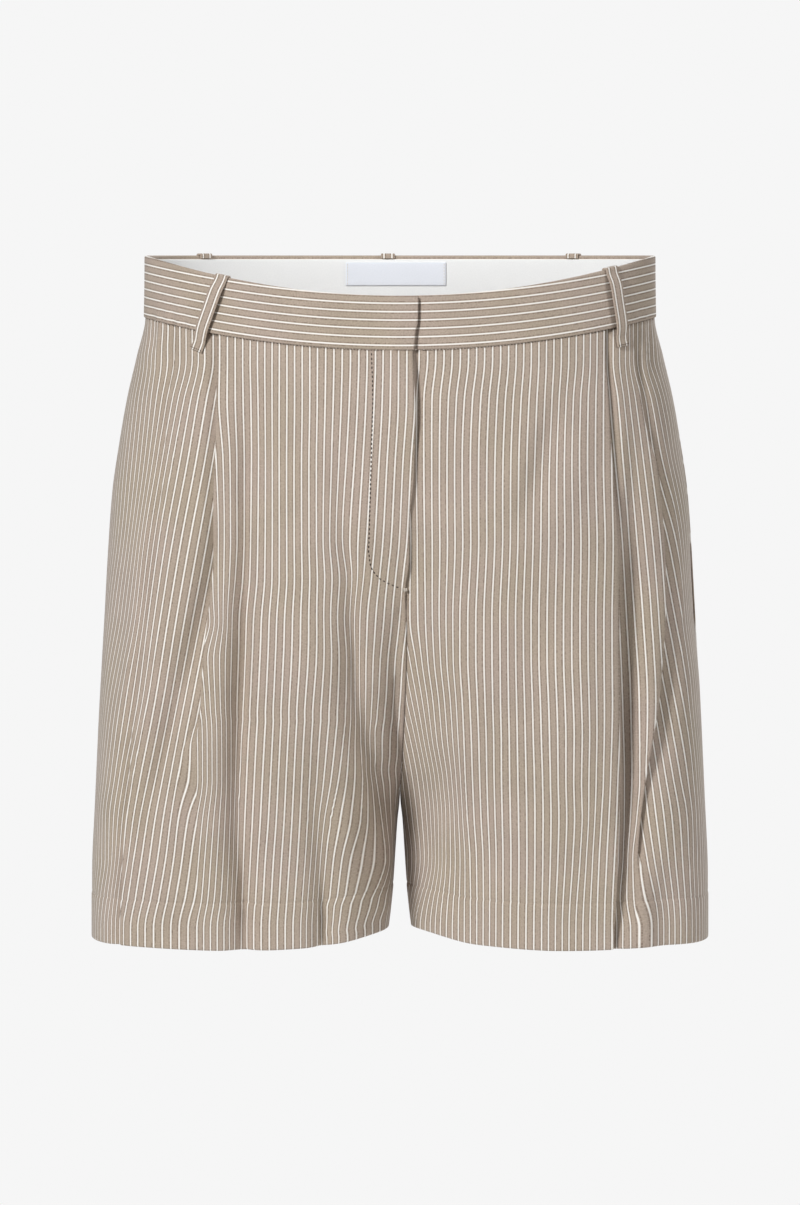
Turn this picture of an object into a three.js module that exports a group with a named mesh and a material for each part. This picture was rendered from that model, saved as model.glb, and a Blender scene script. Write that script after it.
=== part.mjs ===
// Pinstriped bermuda shorts with two pleats on each front, filled out as when worn.
// Millimetres: X runs to the wearer's left, Y to the back, Z up, from the middle of the waist opening.
import * as THREE from "three";

// Cloth and seams
const CLOTH = 1.2;
const HEM_CLOTH = 2.2;
const BAND_CLOTH = 2.4;
const FACING_CLOTH = 1.2;
const LABEL_CLOTH = 1.0;
const ZIP_CLOTH = 1.0;
const SEAM_GAP = 0.3;
const CLEAR = 0.4;

// Heights
const SEAM_Z = -43.3;
const CROTCH_Z = -378.7;
const HEM_Z = -475.3;
const HEM_DEPTH = 32;
const INSEAM_HEM_RISE = 5;

// Waistband: the top edge and the seam drop towards the centre front
const TOP_DIP = 27.4;
const SEAM_DIP = 21.1;
const DIP_FADE = 105;
const LAP_TOP = 12.7;
const LAP_SEAM = 9.6;
const FACING_DROP = 3;

// Fly and pockets
const FLY_END_Z = -228;
const FLY_STEP = 8;
const FLY_LIFT = 1.9;
const LIFT_FLAT = 2;
const LIFT_FADE = 14;
const JOIN_Z = -250;
const ZIP_WIDTH = 26;
const SHIELD_WIDTH = 38;
const POCKET_TOP_Z = -98;
const POCKET_END_Z = -202;
const POCKET_GAP = 1.2;
const BAG_WIDTH = 105;
const BAG_END_Z = -262;
const BAG_TOP_DEPTH = 9;
const BAG_DEPTH = 15;
const BAG_TOP_FADE = 70;
const BAG_SIDE_FADE = 42;
const BAG_CORNER = 28;

// Belt loops
const LOOP_WIDTH = 10;
const LOOP_CLOTH = 1.6;
const LOOP_BULGE = 2.0;
const LOOP_TAIL = 14;

// Label on the back facing
const LABEL_FROM = -39;
const LABEL_TO = 33;
const LABEL_TOP = -5;
const LABEL_END = -21.5;

// Mesh steps
const SAMPLES = 40;
const TURN_STEPS = 3;
const BAND_STEPS = 22;
const FADED_FOLD_SPAN = 16;
const PAST_FOLD = 1.5;
const FLY_ROWS = 10;
const BAG_ROWS = 8;
const LABEL_STEPS = 6;

// The wearer's left is at +X and the back at +Y.
const LEFT = 1;
const RIGHT = -1;
const FRONT = -1;
const BACK = 1;
const panelKey = (face, side) => (face === FRONT ? "front" : "back") + (side === LEFT ? "Left" : "Right");

// A smooth curve through rows sorted from the waist down, with no overshoot between them.
function smoothThrough(heights, values, z) {
  const last = heights.length - 1;
  if (z >= heights[0]) return values[0];
  if (z <= heights[last]) return values[last];
  const i = heights.findIndex((height, k) => z <= height && z > heights[k + 1]);
  const slope = (k) => (values[k + 1] - values[k]) / (heights[k + 1] - heights[k]);
  const tangent = (k) => {
    if (k === 0 || k === last) return 0;
    const before = slope(k - 1);
    const after = slope(k);
    return before * after <= 0 ? 0 : (2 * before * after) / (before + after);
  };
  const step = heights[i + 1] - heights[i];
  const t = (z - heights[i]) / step;
  const rise = values[i + 1] - values[i];
  const start = tangent(i) * step;
  const end = tangent(i + 1) * step;
  return values[i] + t * (start + t * (3 * rise - 2 * start - end + t * (start + end - 2 * rise)));
}

// A table with named columns and a row for each height, read at any height.
function table(names, rows) {
  const heights = rows.map((row) => row[0]);
  const column = (k) => (z) => smoothThrough(heights, rows.map((row) => row[k]), z);
  return Object.fromEntries(names.map((name, k) => [name, column(k)]));
}

// The body's level sections: half width, place of the foremost point, depths from the side seam to the
// front and back, and how full the outer half of each curve is.
const BODY = table(
  ["z", "halfWidth", "peak", "front", "back", "frontPower", "backPower"],
  [
    [0, 177.4, 8, 95, 100, 2.1, 2.1],
    [-43, 178, 12, 96, 103, 2.1, 2.1],
    [-70, 184, 17, 101, 110, 2.1, 2.1],
    [-100, 191, 22, 107, 118, 2.15, 2.15],
    [-130, 196.3, 27, 112, 126, 2.15, 2.2],
    [-165, 201.4, 34, 117, 133, 2.2, 2.2],
    [-205, 204.4, 44, 120, 136, 2.2, 2.2],
    [-250, 207, 58, 120, 134, 2.3, 2.25],
    [-311, 210.4, 78, 117, 124, 2.6, 2.35],
    [-379, 213.4, 98, 108, 108, 3.0, 2.5],
    [-430, 215.6, 106, 101, 99, 3.2, 2.6],
    [-476, 215.8, 108, 98, 94, 3.2, 2.6],
  ],
);

// Below the crotch: how far each inner leg stays from the middle.
const LEGS = table(
  ["z", "inner"],
  [
    [CROTCH_Z, 0.75],
    [-395, 2.3],
    [-416, 3.7],
    [-437, 5.1],
    [-458, 7.2],
    [-476, 9.0],
  ],
);

// The edge of the fly and, below it, the centre front seam, to the wearer's left of the middle.
const CENTRE_FRONT = table(
  ["z", "edge"],
  [
    [-60, 8.6],
    [-107, 10.6],
    [-150, 9.6],
    [-181, 6.9],
    [-209, 6.5],
    [-229, 4.1],
    [-263, 4.7],
    [-346, 1.7],
    [CROTCH_Z, 0],
  ],
);

// Pleats of each front, each opening to the side: place of the edge, width turned under, radius of the
// turns, spread of the hidden layer, reach of the step beyond the edge, and how much of the fold is left.
const PLEAT_COLUMNS = ["z", "edge", "under", "turn", "spread", "reach", "left"];
const PLEATS = {
  [LEFT]: [
    table(PLEAT_COLUMNS, [
      [-60, 141.4, 18, 1.1, 0.3, 8, 1],
      [-104, 143.6, 16, 1.1, 0.8, 10, 1],
      [-154, 146.6, 12, 1.1, 1.5, 12, 1],
      [-228, 151.5, 9, 1.1, 4.0, 17, 1],
      [-330, 151.5, 9, 1.1, 5.0, 17, 1],
      [-434, 149.0, 6, 1.2, 3.0, 14, 1],
      [-476, 146.5, 3, 1.2, 1.5, 12, 1],
    ]),
    table(PLEAT_COLUMNS, [
      [-50, 161, 12, 1.1, 0.2, 12, 1],
      [-112, 169, 14, 1.1, 0.5, 14, 1],
      [-158, 180, 14, 1.1, 1.0, 18, 1],
      [-228, 184, 13, 1.2, 2.0, 22, 1],
      [-290, 182, 11, 1.2, 3.0, 24, 1],
      [-352, 172, 6, 1.2, 2.0, 24, 1],
      [-395, 166, 2, 1.2, 1.0, 22, 1],
      [-440, 162, 2, 1.2, 0.5, 20, 0],
    ]),
  ],
  [RIGHT]: [
    table(PLEAT_COLUMNS, [
      [-60, 125.6, 16, 1.1, 0.3, 10, 1],
      [-132, 126.5, 12, 1.1, 0.8, 12, 1],
      [-186, 129.5, 9, 1.1, 1.5, 15, 1],
      [-230, 132.5, 6, 1.1, 2.0, 18, 1],
      [-272, 135, 3.5, 1.1, 2.0, 20, 1],
      [-306, 136.5, 2, 1.1, 1.5, 20, 1],
      [-350, 138, 2, 1.1, 1.0, 20, 0],
    ]),
    table(PLEAT_COLUMNS, [
      [-50, 155, 10, 1.1, 0.2, 10, 1],
      [-112, 161, 5, 1.1, 0.4, 12, 1],
      [-158, 164, 2.5, 1.1, 0.6, 14, 1],
      [-240, 173, 2.5, 1.1, 0.8, 14, 1],
      [-360, 187, 5, 1.2, 1.5, 12, 1],
      [-427, 192, 5, 1.2, 1.5, 12, 1],
      [-476, 193, 3, 1.2, 1.0, 12, 1],
    ]),
  ],
};

// Largest soft folds: a valley where depth is above 0 and a ridge below it.
const FOLD_COLUMNS = ["z", "place", "depth", "width"];
const FOLDS = {
  frontLeft: [
    table(FOLD_COLUMNS, [
      [-150, 172, 0, 10],
      [-260, 168, 4, 10],
      [-380, 161, 5, 9],
      [-440, 158, 2, 8],
    ]),
    table(FOLD_COLUMNS, [
      [-250, 100, 0, 26],
      [-340, 104, -3, 24],
      [-440, 108, 0, 26],
    ]),
  ],
  frontRight: [
    table(FOLD_COLUMNS, [
      [-150, 119, 0, 10],
      [-206, 118, 6, 11],
      [-310, 115, 11, 11],
      [-410, 111, 14, 11],
      [-476, 108, 11, 10],
    ]),
    table(FOLD_COLUMNS, [
      [-190, 35, 0, 16],
      [-300, 31, 6, 12],
      [-375, 16, 3, 10],
      [-420, 14, 0, 10],
    ]),
    table(FOLD_COLUMNS, [
      [-395, 48, 0, 10],
      [-450, 50, 4, 9],
      [-476, 51, 6, 9],
    ]),
  ],
  backLeft: [
    table(FOLD_COLUMNS, [
      [-180, 120, 0, 22],
      [-320, 112, 5, 20],
      [-476, 104, 7, 18],
    ]),
    table(FOLD_COLUMNS, [
      [-260, 170, 0, 16],
      [-400, 176, 4, 14],
      [-476, 178, 5, 14],
    ]),
  ],
  backRight: [
    table(FOLD_COLUMNS, [
      [-200, 96, 0, 22],
      [-340, 98, 6, 18],
      [-476, 92, 6, 18],
    ]),
    table(FOLD_COLUMNS, [
      [-220, 158, 0, 18],
      [-360, 168, 5, 15],
      [-476, 172, 4, 14],
    ]),
  ],
};

const clamp01 = (t) => Math.min(1, Math.max(0, t));
const ease = (t) => clamp01(t) ** 2 * (3 - 2 * clamp01(t));
const mix = (a, b, t) => a + (b - a) * t;

// The waistband's edges at a distance x from the middle of the front.
const waistShare = (x) => 1 - Math.min(1, Math.abs(x) / BODY.halfWidth(0)) ** 2;
const topZ = (x, face) => (face === FRONT ? -TOP_DIP * waistShare(x) : 0);
const seamZ = (x, face) => SEAM_Z - (face === FRONT ? SEAM_DIP * waistShare(x) : 0);

// How deep the centre seam lies, as a share of the section's depth: an arc from the waist to the crotch.
const CENTRE_POWER = { [FRONT]: 3.2, [BACK]: 5 };
const MOST_SHARE = 0.998;
function centreShare(z, face) {
  const t = clamp01(z / CROTCH_Z);
  return Math.min(MOST_SHARE, Math.sqrt(Math.max(0, 1 - t ** CENTRE_POWER[face])));
}

// Fullness of the inner half of each leg's section.
const INNER_POWER = { frontLeft: 1.6, frontRight: 2.3, backLeft: 1.9, backRight: 1.9 };

// The level section of one leg's front or back, from the centre or inner leg to the side seam.
const sections = new Map();
function section(z, face, side) {
  const key = [z.toFixed(3), face, side].join();
  if (sections.has(key)) return sections.get(key);
  const inner = INNER_POWER[panelKey(face, side)];
  const outer = face === FRONT ? BODY.frontPower(z) : BODY.backPower(z);
  const peak = BODY.peak(z);
  const depth = face === FRONT ? BODY.front(z) : BODY.back(z);
  const share = z > CROTCH_Z ? centreShare(z, face) : 0;
  const cut = (1 - share ** inner) ** (1 / inner);
  const innerReach = z > CROTCH_Z ? peak / cut : peak - LEGS.inner(z);
  const outerReach = BODY.halfWidth(z) - CLOTH / 2 - peak;
  const firstAngle = Math.atan2(share, cut);
  const points = [];
  for (let i = 0; i <= SAMPLES; i++) {
    const angle = mix(firstAngle, Math.PI, i / SAMPLES);
    const c = Math.cos(angle);
    const d = Math.sin(angle);
    const power = angle < Math.PI / 2 ? inner : outer;
    const radius = (Math.abs(c) ** power + d ** power) ** (-1 / power);
    points.push([peak - c * radius * (c > 0 ? innerReach : outerReach), face * d * radius * depth]);
  }
  const arc = [0];
  for (let i = 1; i <= SAMPLES; i++) {
    arc.push(arc[i - 1] + Math.hypot(points[i][0] - points[i - 1][0], points[i][1] - points[i - 1][1]));
  }
  const made = { points, arc, length: arc[SAMPLES] };
  sections.set(key, made);
  return made;
}

// The point and inward normal of a section at an arc length from its start. Before its start it runs on
// along the other side's.
function alongSection(z, face, side, s) {
  if (s < 0) {
    const other = alongSection(z, face, -side, -s);
    return { x: -other.x, y: other.y, nx: -other.nx, ny: other.ny };
  }
  const { points, arc } = section(z, face, side);
  let i = arc.findIndex((value) => value > s) - 1;
  if (i < 0) i = SAMPLES - 1;
  const tangent = (k) => {
    const a = points[Math.max(0, k - 1)];
    const b = points[Math.min(SAMPLES, k + 1)];
    const far = Math.hypot(b[0] - a[0], b[1] - a[1]);
    return [(b[0] - a[0]) / far, (b[1] - a[1]) / far];
  };
  const t = (s - arc[i]) / (arc[i + 1] - arc[i]);
  const before = tangent(i);
  const after = tangent(i + 1);
  const tx = mix(before[0], after[0], t);
  const ty = mix(before[1], after[1], t);
  const size = Math.hypot(tx, ty);
  return {
    x: mix(points[i][0], points[i + 1][0], t),
    y: mix(points[i][1], points[i + 1][1], t),
    nx: (face * ty) / size,
    ny: (-face * tx) / size,
  };
}

// The arc length at which a section reaches a distance x from the middle.
function arcAt(z, face, side, x) {
  if (x < 0) return -arcAt(z, face, -side, -x);
  const { points, arc } = section(z, face, side);
  const i = points.findIndex((point) => point[0] > x);
  if (i < 0) return arc[SAMPLES];
  if (i === 0) return 0;
  return mix(arc[i - 1], arc[i], (x - points[i - 1][0]) / (points[i][0] - points[i - 1][0]));
}

// How far the soft folds push the cloth in at one place.
function foldDepth(z, face, side, x) {
  return FOLDS[panelKey(face, side)].reduce((sum, fold) => {
    const away = (Math.abs(x) - fold.place(z)) / fold.width(z);
    return sum + fold.depth(z) * Math.exp(-away * away);
  }, 0);
}

// A point of the garment: at height z, arc length s and depth h under the plain section.
function place(z, face, side, s, h) {
  const at = alongSection(z, face, side, s);
  const depth = h + (s < 0 ? 0 : foldDepth(z, face, side, at.x));
  return [side * (at.x + at.nx * depth), at.y + at.ny * depth, z];
}

// A level row of a front as arc lengths and depths: outer cloth, then each pleat's two turns and its step.
const FRONT_STEPS = { [LEFT]: [11, 3, 6], [RIGHT]: [12, 4, 5] };
function frontRow(z, side) {
  const length = section(z, FRONT, side).length;
  const flyLeft = ease((z - FLY_END_Z + FLY_STEP) / FLY_STEP);
  const edge = z > CROTCH_Z ? CENTRE_FRONT.edge(z) : 0;
  const start = side === RIGHT ? -edge : mix(edge + SEAM_GAP, SEAM_GAP, flyLeft);
  const lift = side === RIGHT ? FLY_LIFT * ease((z - JOIN_Z) / LIFT_FADE) : 0;
  const passed = [];
  const sunk = (s) => {
    const steps = passed.map((fold) => fold.depth * (1 - ease((s - fold.edge) / fold.reach)));
    return steps.reduce((sum, step) => sum + step, -lift * (1 - ease((s - LIFT_FLAT) / LIFT_FADE)));
  };
  const row = [];
  const steps = FRONT_STEPS[side];
  let from = z > CROTCH_Z ? arcAt(z, FRONT, side, start) : 0;
  PLEATS[side].forEach((pleat, number) => {
    const left = pleat.left(z);
    const turn = pleat.turn(z);
    const under = pleat.under(z);
    const fold = arcAt(z, FRONT, side, pleat.edge(z));
    const hidden = 2 * turn + pleat.spread(z);
    for (let k = 0; k < steps[number]; k++) {
      const s = mix(from, fold - turn, k / steps[number]);
      row.push([s, sunk(s)]);
    }
    for (let k = 0; k < 2 * (TURN_STEPS + 1); k++) {
      const second = k > TURN_STEPS;
      const angle = (Math.PI * (k % (TURN_STEPS + 1))) / TURN_STEPS;
      const middle = second ? fold - under : fold - turn;
      const s = middle + (second ? -1 : 1) * turn * Math.sin(angle);
      const h = (second ? hidden : 0) + turn * (1 - Math.cos(angle));
      const flat = fold - turn + (FADED_FOLD_SPAN * k) / (2 * TURN_STEPS + 1);
      const shown = mix(flat, s, left);
      row.push([shown, left * h + sunk(shown)]);
    }
    passed.push({ edge: fold, depth: left * (hidden + 2 * turn), reach: pleat.reach(z) });
    from = mix(fold - turn + FADED_FOLD_SPAN, fold, left) + PAST_FOLD;
  });
  const lastSteps = steps[2];
  for (let k = 0; k <= lastSteps; k++) {
    const s = mix(from, length, k / lastSteps);
    row.push([s, sunk(s)]);
  }
  return row;
}

// A level row of a back.
const BACK_STEPS = 18;
function backRow(z, side) {
  const { length } = section(z, BACK, side);
  return Array.from({ length: BACK_STEPS + 1 }, (_, k) => [(length * k) / BACK_STEPS, 0]);
}

// Heights of a panel's rows at its side seam, closer together at the crotch and at the hem's top.
const spaced = (from, to, steps) => Array.from({ length: steps }, (_, k) => mix(from, to, k / steps));
const crotchward = (from, to, steps) => {
  return Array.from({ length: steps }, (_, k) => mix(to, from, (1 - k / steps) ** 1.8));
};
const ROWS = [
  ...spaced(SEAM_Z - SEAM_GAP, FLY_END_Z, 9),
  ...spaced(FLY_END_Z, FLY_END_Z - 20, 2),
  ...crotchward(FLY_END_Z - 20, CROTCH_Z, 9),
  ...spaced(CROTCH_Z, HEM_Z + HEM_DEPTH + 1, 4),
  HEM_Z + HEM_DEPTH + 1,
  HEM_Z + HEM_DEPTH,
  HEM_Z + HEM_DEPTH / 2,
  HEM_Z,
];

// The height of a row at one place: the top follows the waist seam and the hem rises at the inner leg.
function rowHeight(rowZ, face, x) {
  const top = (seamZ(x, face) - SEAM_Z) * (1 - ease((SEAM_Z - rowZ) / DIP_FADE));
  const inner = 1 - ease((Math.abs(x) - BODY.halfWidth(0) * 0.05) / (BODY.halfWidth(0) * 0.25));
  const hem = INSEAM_HEM_RISE * inner * ease((CROTCH_Z - rowZ) / (CROTCH_Z - HEM_Z));
  return rowZ + top + hem;
}

// The middle surface of a panel, and which of its points are thickened by the hem.
function panelPoints(face, side) {
  const rowOf = face === FRONT ? frontRow : backRow;
  const gap = SEAM_GAP / 2;
  return ROWS.map((rowZ) => {
    const nominal = rowOf(rowZ, side);
    return nominal.map(([s], k) => {
      const z = rowHeight(rowZ, face, alongSection(rowZ, face, side, s).x);
      const row = rowOf(z, side);
      const point = place(z, face, side, ...row[k]);
      if (k === row.length - 1) point[1] = face * (gap + pocketGape(z, face));
      if (k === 0 && z <= CROTCH_Z) point[1] = face * gap;
      if (k === 0 && z > CROTCH_Z && face === BACK) point[0] = side * gap;
      return point;
    });
  });
}

// The pocket is a slit in the side seam: its front edge stands a little away from its back edge.
function pocketGape(z, face) {
  if (face !== FRONT) return 0;
  const t = clamp01((z - POCKET_END_Z) / (POCKET_TOP_Z - POCKET_END_Z));
  return POCKET_GAP * Math.sin(Math.PI * t);
}

// A unit normal at each point of a grid, level along its first and last rows.
function normalsOf(grid) {
  const vector = (p) => new THREE.Vector3(...p);
  const last = grid.length - 1;
  return grid.map((row, i) =>
    row.map((_, k) => {
      const across = vector(row[Math.min(row.length - 1, k + 1)]).sub(vector(row[Math.max(0, k - 1)]));
      const down = vector(grid[Math.min(last, i + 1)][k]).sub(vector(grid[Math.max(0, i - 1)][k]));
      const normal = across.cross(down);
      if (i === 0 || i === last) normal.z = 0;
      return normal.normalize();
    }),
  );
}

// A closed wall around a grid of middle points: thickness(i, k) gives how far it goes out and in.
function wall(grid, thickness, facing, limit = (p) => p) {
  const normals = normalsOf(grid);
  const shifted = (sign) =>
    grid.map((row, i) =>
      row.map((p, k) => {
        const far = thickness(i, k)[sign > 0 ? 0 : 1];
        const n = normals[i][k];
        return limit([0, 1, 2].map((axis) => p[axis] + sign * facing * far * n.getComponent(axis)), i, k);
      }),
    );
  return closedWall(shifted(1), shifted(-1));
}

// A closed mesh from an outer and an inner grid, with its rim, turned so that its faces point out.
function closedWall(outer, inner) {
  const rows = outer.length;
  const columns = outer[0].length;
  const positions = [...outer.flat(), ...inner.flat()].flat();
  const index = [];
  const at = (layer, i, k) => layer * rows * columns + i * columns + k;
  const quad = (a, b, c, d) => index.push(a, b, c, a, c, d);
  for (let i = 0; i < rows - 1; i++) {
    for (let k = 0; k < columns - 1; k++) {
      quad(at(0, i, k), at(0, i + 1, k), at(0, i + 1, k + 1), at(0, i, k + 1));
      quad(at(1, i, k), at(1, i, k + 1), at(1, i + 1, k + 1), at(1, i + 1, k));
    }
    quad(at(0, i, 0), at(1, i, 0), at(1, i + 1, 0), at(0, i + 1, 0));
    const end = columns - 1;
    quad(at(0, i, end), at(0, i + 1, end), at(1, i + 1, end), at(1, i, end));
  }
  for (let k = 0; k < columns - 1; k++) {
    quad(at(0, 0, k), at(0, 0, k + 1), at(1, 0, k + 1), at(1, 0, k));
    const end = rows - 1;
    quad(at(0, end, k), at(1, end, k), at(1, end, k + 1), at(0, end, k + 1));
  }
  const geometry = new THREE.BufferGeometry();
  geometry.setAttribute("position", new THREE.Float32BufferAttribute(positions, 3));
  if (signedVolume(positions, index) < 0) index.reverse();
  geometry.setIndex(index);
  geometry.computeVertexNormals();
  return geometry;
}

function signedVolume(positions, index) {
  const corner = (i) => new THREE.Vector3(...positions.slice(3 * i, 3 * i + 3));
  let sum = 0;
  for (let i = 0; i < index.length; i += 3) {
    sum += corner(index[i]).dot(corner(index[i + 1]).cross(corner(index[i + 2])));
  }
  return sum / 6;
}

// How near the middle a panel may come: the fronts meet along the fly's line, the backs in the middle.
function nearestX(z, face, side) {
  if (face === BACK || z <= CROTCH_Z) return SEAM_GAP / 2;
  return side === LEFT ? CENTRE_FRONT.edge(z) + SEAM_GAP : -CENTRE_FRONT.edge(z);
}

// A front or back panel: one cloth thick, two at the turned-up hem away from the pleats.
function panel(face, side) {
  const grid = panelPoints(face, side);
  const half = CLOTH / 2;
  const pleated = frontRow(SEAM_Z, side).map((_, k) => {
    const steps = FRONT_STEPS[side];
    const turns = 2 * (TURN_STEPS + 1);
    const first = k >= steps[0] - 1 && k <= steps[0] + turns;
    const next = steps[0] + turns + steps[1];
    return first || (k >= next - 1 && k <= next + turns);
  });
  const thickness = (i, k) => {
    const doubled = ROWS[i] <= HEM_Z + HEM_DEPTH && !(face === FRONT && pleated[k]);
    return [half, doubled ? HEM_CLOTH - half : half];
  };
  const limit = (p, i, k) => {
    const gap = SEAM_GAP / 2;
    const last = k === grid[0].length - 1;
    if (last) p[1] = face * Math.max(gap, face * p[1]);
    if (k === 0 && p[2] <= CROTCH_Z) p[1] = face * Math.max(gap, face * p[1]);
    const nearest = nearestX(p[2], face, side) + (k === 0 ? 0 : 0.01);
    if (p[2] <= JOIN_Z || face === BACK) p[0] = side * Math.max(nearest, side * p[0]);
    return p;
  };
  return wall(grid, thickness, face * side, limit);
}

// A piece that lies on the body: its columns as arc lengths, rows from its top to its end, and its depth.
function patch({ face, side, columns, rows, top, end, depth, thickness, limit }) {
  const grid = Array.from({ length: rows + 1 }, (_, i) => {
    const down = i / rows;
    return columns(SEAM_Z, down).map((nearS, k, all) => {
      const { x } = alongSection(SEAM_Z, face, side, nearS);
      const across = k / (all.length - 1);
      const z = mix(top(x, across), end(x, across), down);
      const s = columns(z, down)[k];
      return place(z, face, side, s, depth(s, z));
    });
  });
  return wall(grid, () => [thickness / 2, thickness / 2], face * side, limit);
}

// Even columns from one arc length to another, without the first one.
const evenColumns = (from, to, steps) => {
  return Array.from({ length: steps }, (_, k) => mix(from, to, (k + 1) / steps));
};

const halfGap = SEAM_GAP / 2;
const panelOut = CLOTH / 2;
const bandDepth = panelOut - BAND_CLOTH / 2;
const facingDepth = panelOut + SEAM_GAP + FACING_CLOTH / 2;
const sectionEnd = (face, side) => (z) => section(z, face, side).length;
const sideLimit = (face) => (p) => {
  p[1] = face * Math.max(halfGap, face * p[1]);
  return p;
};

// One front half of the waistband; the wearer's right half laps over the left one.
function frontBand(side) {
  const laps = side === RIGHT;
  const lift = laps ? BAND_CLOTH + CLEAR : 0;
  const length = sectionEnd(FRONT, side);
  return patch({
    face: FRONT,
    side,
    columns: (z, down) => [
      ...(laps ? [-mix(LAP_TOP, LAP_SEAM, down), 0] : [SEAM_GAP]),
      ...evenColumns(0, length(z), BAND_STEPS),
    ],
    rows: 2,
    top: (x) => topZ(x, FRONT),
    end: (x) => seamZ(x, FRONT),
    depth: (s) => bandDepth - lift * (1 - ease((s - 1) / 15)),
    thickness: BAND_CLOTH,
    limit: sideLimit(FRONT),
  });
}

// A level ring's back, from side seam to side seam.
function backStrip(top, end, depth, thickness) {
  const length = sectionEnd(BACK, LEFT);
  return patch({
    face: BACK,
    side: LEFT,
    columns: (z) => [-length(z), ...evenColumns(-length(z), length(z), 2 * BAND_STEPS)],
    rows: 1,
    top: () => top,
    end: () => end,
    depth: () => depth,
    thickness,
    limit: sideLimit(BACK),
  });
}

// The pale facing inside one front half of the waistband.
function frontFacing(side) {
  const length = sectionEnd(FRONT, side);
  return patch({
    face: FRONT,
    side,
    columns: (z) => [halfGap, ...evenColumns(0, length(z), BAND_STEPS)],
    rows: 2,
    top: (x) => topZ(x, FRONT) - FACING_DROP,
    end: (x) => seamZ(x, FRONT) + SEAM_GAP,
    depth: () => facingDepth,
    thickness: FACING_CLOTH,
    limit: (p) => {
      p[0] = side * Math.max(halfGap, side * p[0]);
      return sideLimit(FRONT)(p);
    },
  });
}

// The bare woven label on the back facing.
function label() {
  return patch({
    face: BACK,
    side: LEFT,
    columns: () => [LABEL_FROM, ...evenColumns(LABEL_FROM, LABEL_TO, LABEL_STEPS)],
    rows: 1,
    top: () => LABEL_TOP,
    end: () => LABEL_END,
    depth: () => facingDepth + FACING_CLOTH / 2 + SEAM_GAP + LABEL_CLOTH / 2,
    thickness: LABEL_CLOTH,
  });
}

// A strip behind the fly: the zip, or the shield behind it.
function flyStrip(columns, depth, thickness) {
  return patch({
    face: FRONT,
    side: LEFT,
    columns: () => columns,
    rows: FLY_ROWS,
    top: (x) => seamZ(x, FRONT) - 2 * SEAM_GAP,
    end: () => FLY_END_Z + 2,
    depth: () => depth,
    thickness,
  });
}
const zipDepth = panelOut + 2 * CLEAR + ZIP_CLOTH / 2;
const zipColumns = [-0.5, -0.25, 0, 0.25, 0.5].map((share) => share * ZIP_WIDTH);
const shieldColumns = [zipColumns[4] - SHIELD_WIDTH, ...zipColumns];
const shieldDepth = zipDepth + ZIP_CLOTH / 2 + SEAM_GAP + CLOTH / 2;

// A pocket bag: a flat double layer inside the front, held at the side seam and the waist seam.
function pocketBag(side) {
  const bag = 2 * CLOTH;
  const atSeam = panelOut + SEAM_GAP + bag / 2;
  const length = sectionEnd(FRONT, side);
  return patch({
    face: FRONT,
    side,
    columns: (z) => [length(z) - BAG_WIDTH, ...evenColumns(length(z) - BAG_WIDTH, length(z) - 3, BAG_ROWS)],
    rows: BAG_ROWS,
    top: (x) => seamZ(x, FRONT) - 2 * SEAM_GAP,
    end: (x, across) => BAG_END_Z + BAG_CORNER * Math.abs(2 * across - 1) ** 3,
    depth: (s, z) => {
      const hang = mix(BAG_TOP_DEPTH, BAG_DEPTH, ease((SEAM_Z - z) / BAG_TOP_FADE));
      return mix(atSeam, hang, ease((length(z) - s) / BAG_SIDE_FADE));
    },
    thickness: bag,
  });
}

// A belt loop: a strip that is tucked over the band's top edge and sewn down below its seam.
function beltLoop(face, side, topX, endX) {
  const half = LOOP_CLOTH / 2;
  const bandOut = bandDepth - BAND_CLOTH / 2 - CLEAR - half;
  const panelRest = -panelOut - 2 * CLEAR - half;
  const tucked = panelOut + CLEAR + half;
  const over = SEAM_GAP + half;
  const top = topZ(topX, face);
  const seam = seamZ(endX, face);
  const out = bandOut - LOOP_BULGE;
  // depth, height
  const path = [
    [tucked, top - FACING_DROP + 3 * SEAM_GAP],
    [tucked, top + 0.4],
    [tucked - 0.9, top + over],
    [bandOut + 1.0, top + over],
    [bandOut, top + 0.2],
    [bandOut - 0.3, top - 4],
    [out, top - 11],
    [out, mix(top, seam, 0.6)],
    [out + 0.2, seam + 3],
    [mix(out, panelRest, 0.45), seam - 3],
    [panelRest, seam - 8],
    [panelRest, seam - LOOP_TAIL],
  ];
  const endZ = seam - LOOP_TAIL;
  const tilt = Math.atan2(endX - topX, top - endZ);
  const layer = (sign) =>
    path.map(([h, z], j) => {
      const before = path[Math.max(0, j - 1)];
      const after = path[Math.min(path.length - 1, j + 1)];
      const dh = after[0] - before[0];
      const dz = after[1] - before[1];
      const far = Math.hypot(dh, dz);
      const t = clamp01((top - z) / (top - endZ));
      const level = z - (sign * half * dh) / far;
      const s = arcAt(level, face, side, mix(topX, endX, t));
      return [-LOOP_WIDTH / 2, LOOP_WIDTH / 2].map((edge) => {
        const alongRim = topZ(alongSection(top, face, side, s + edge).x, face) - top;
        const rise = mix(alongRim, edge * Math.sin(tilt), clamp01((top - 2 - z) / 10));
        return place(level + rise, face, side, s + edge * Math.cos(tilt), h + (sign * half * dz) / far);
      });
    });
  return closedWall(layer(1), layer(-1));
}

const shorts = new THREE.Group();
const paint = (color, roughness) => new THREE.MeshStandardMaterial({ color, roughness, metalness: 0 });
const suiting = paint(0xb6a79c, 0.85);
const facingCloth = paint(0xe5e5e5, 0.8);
const labelCloth = paint(0xdfe2e8, 0.6);
const tape = paint(0x9c8d80, 0.7);
const bagCloth = paint(0xd9d2c8, 0.8);
const add = (name, geometry, material = suiting) => {
  const mesh = new THREE.Mesh(geometry, material.clone());
  mesh.name = name;
  shorts.add(mesh);
};

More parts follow.
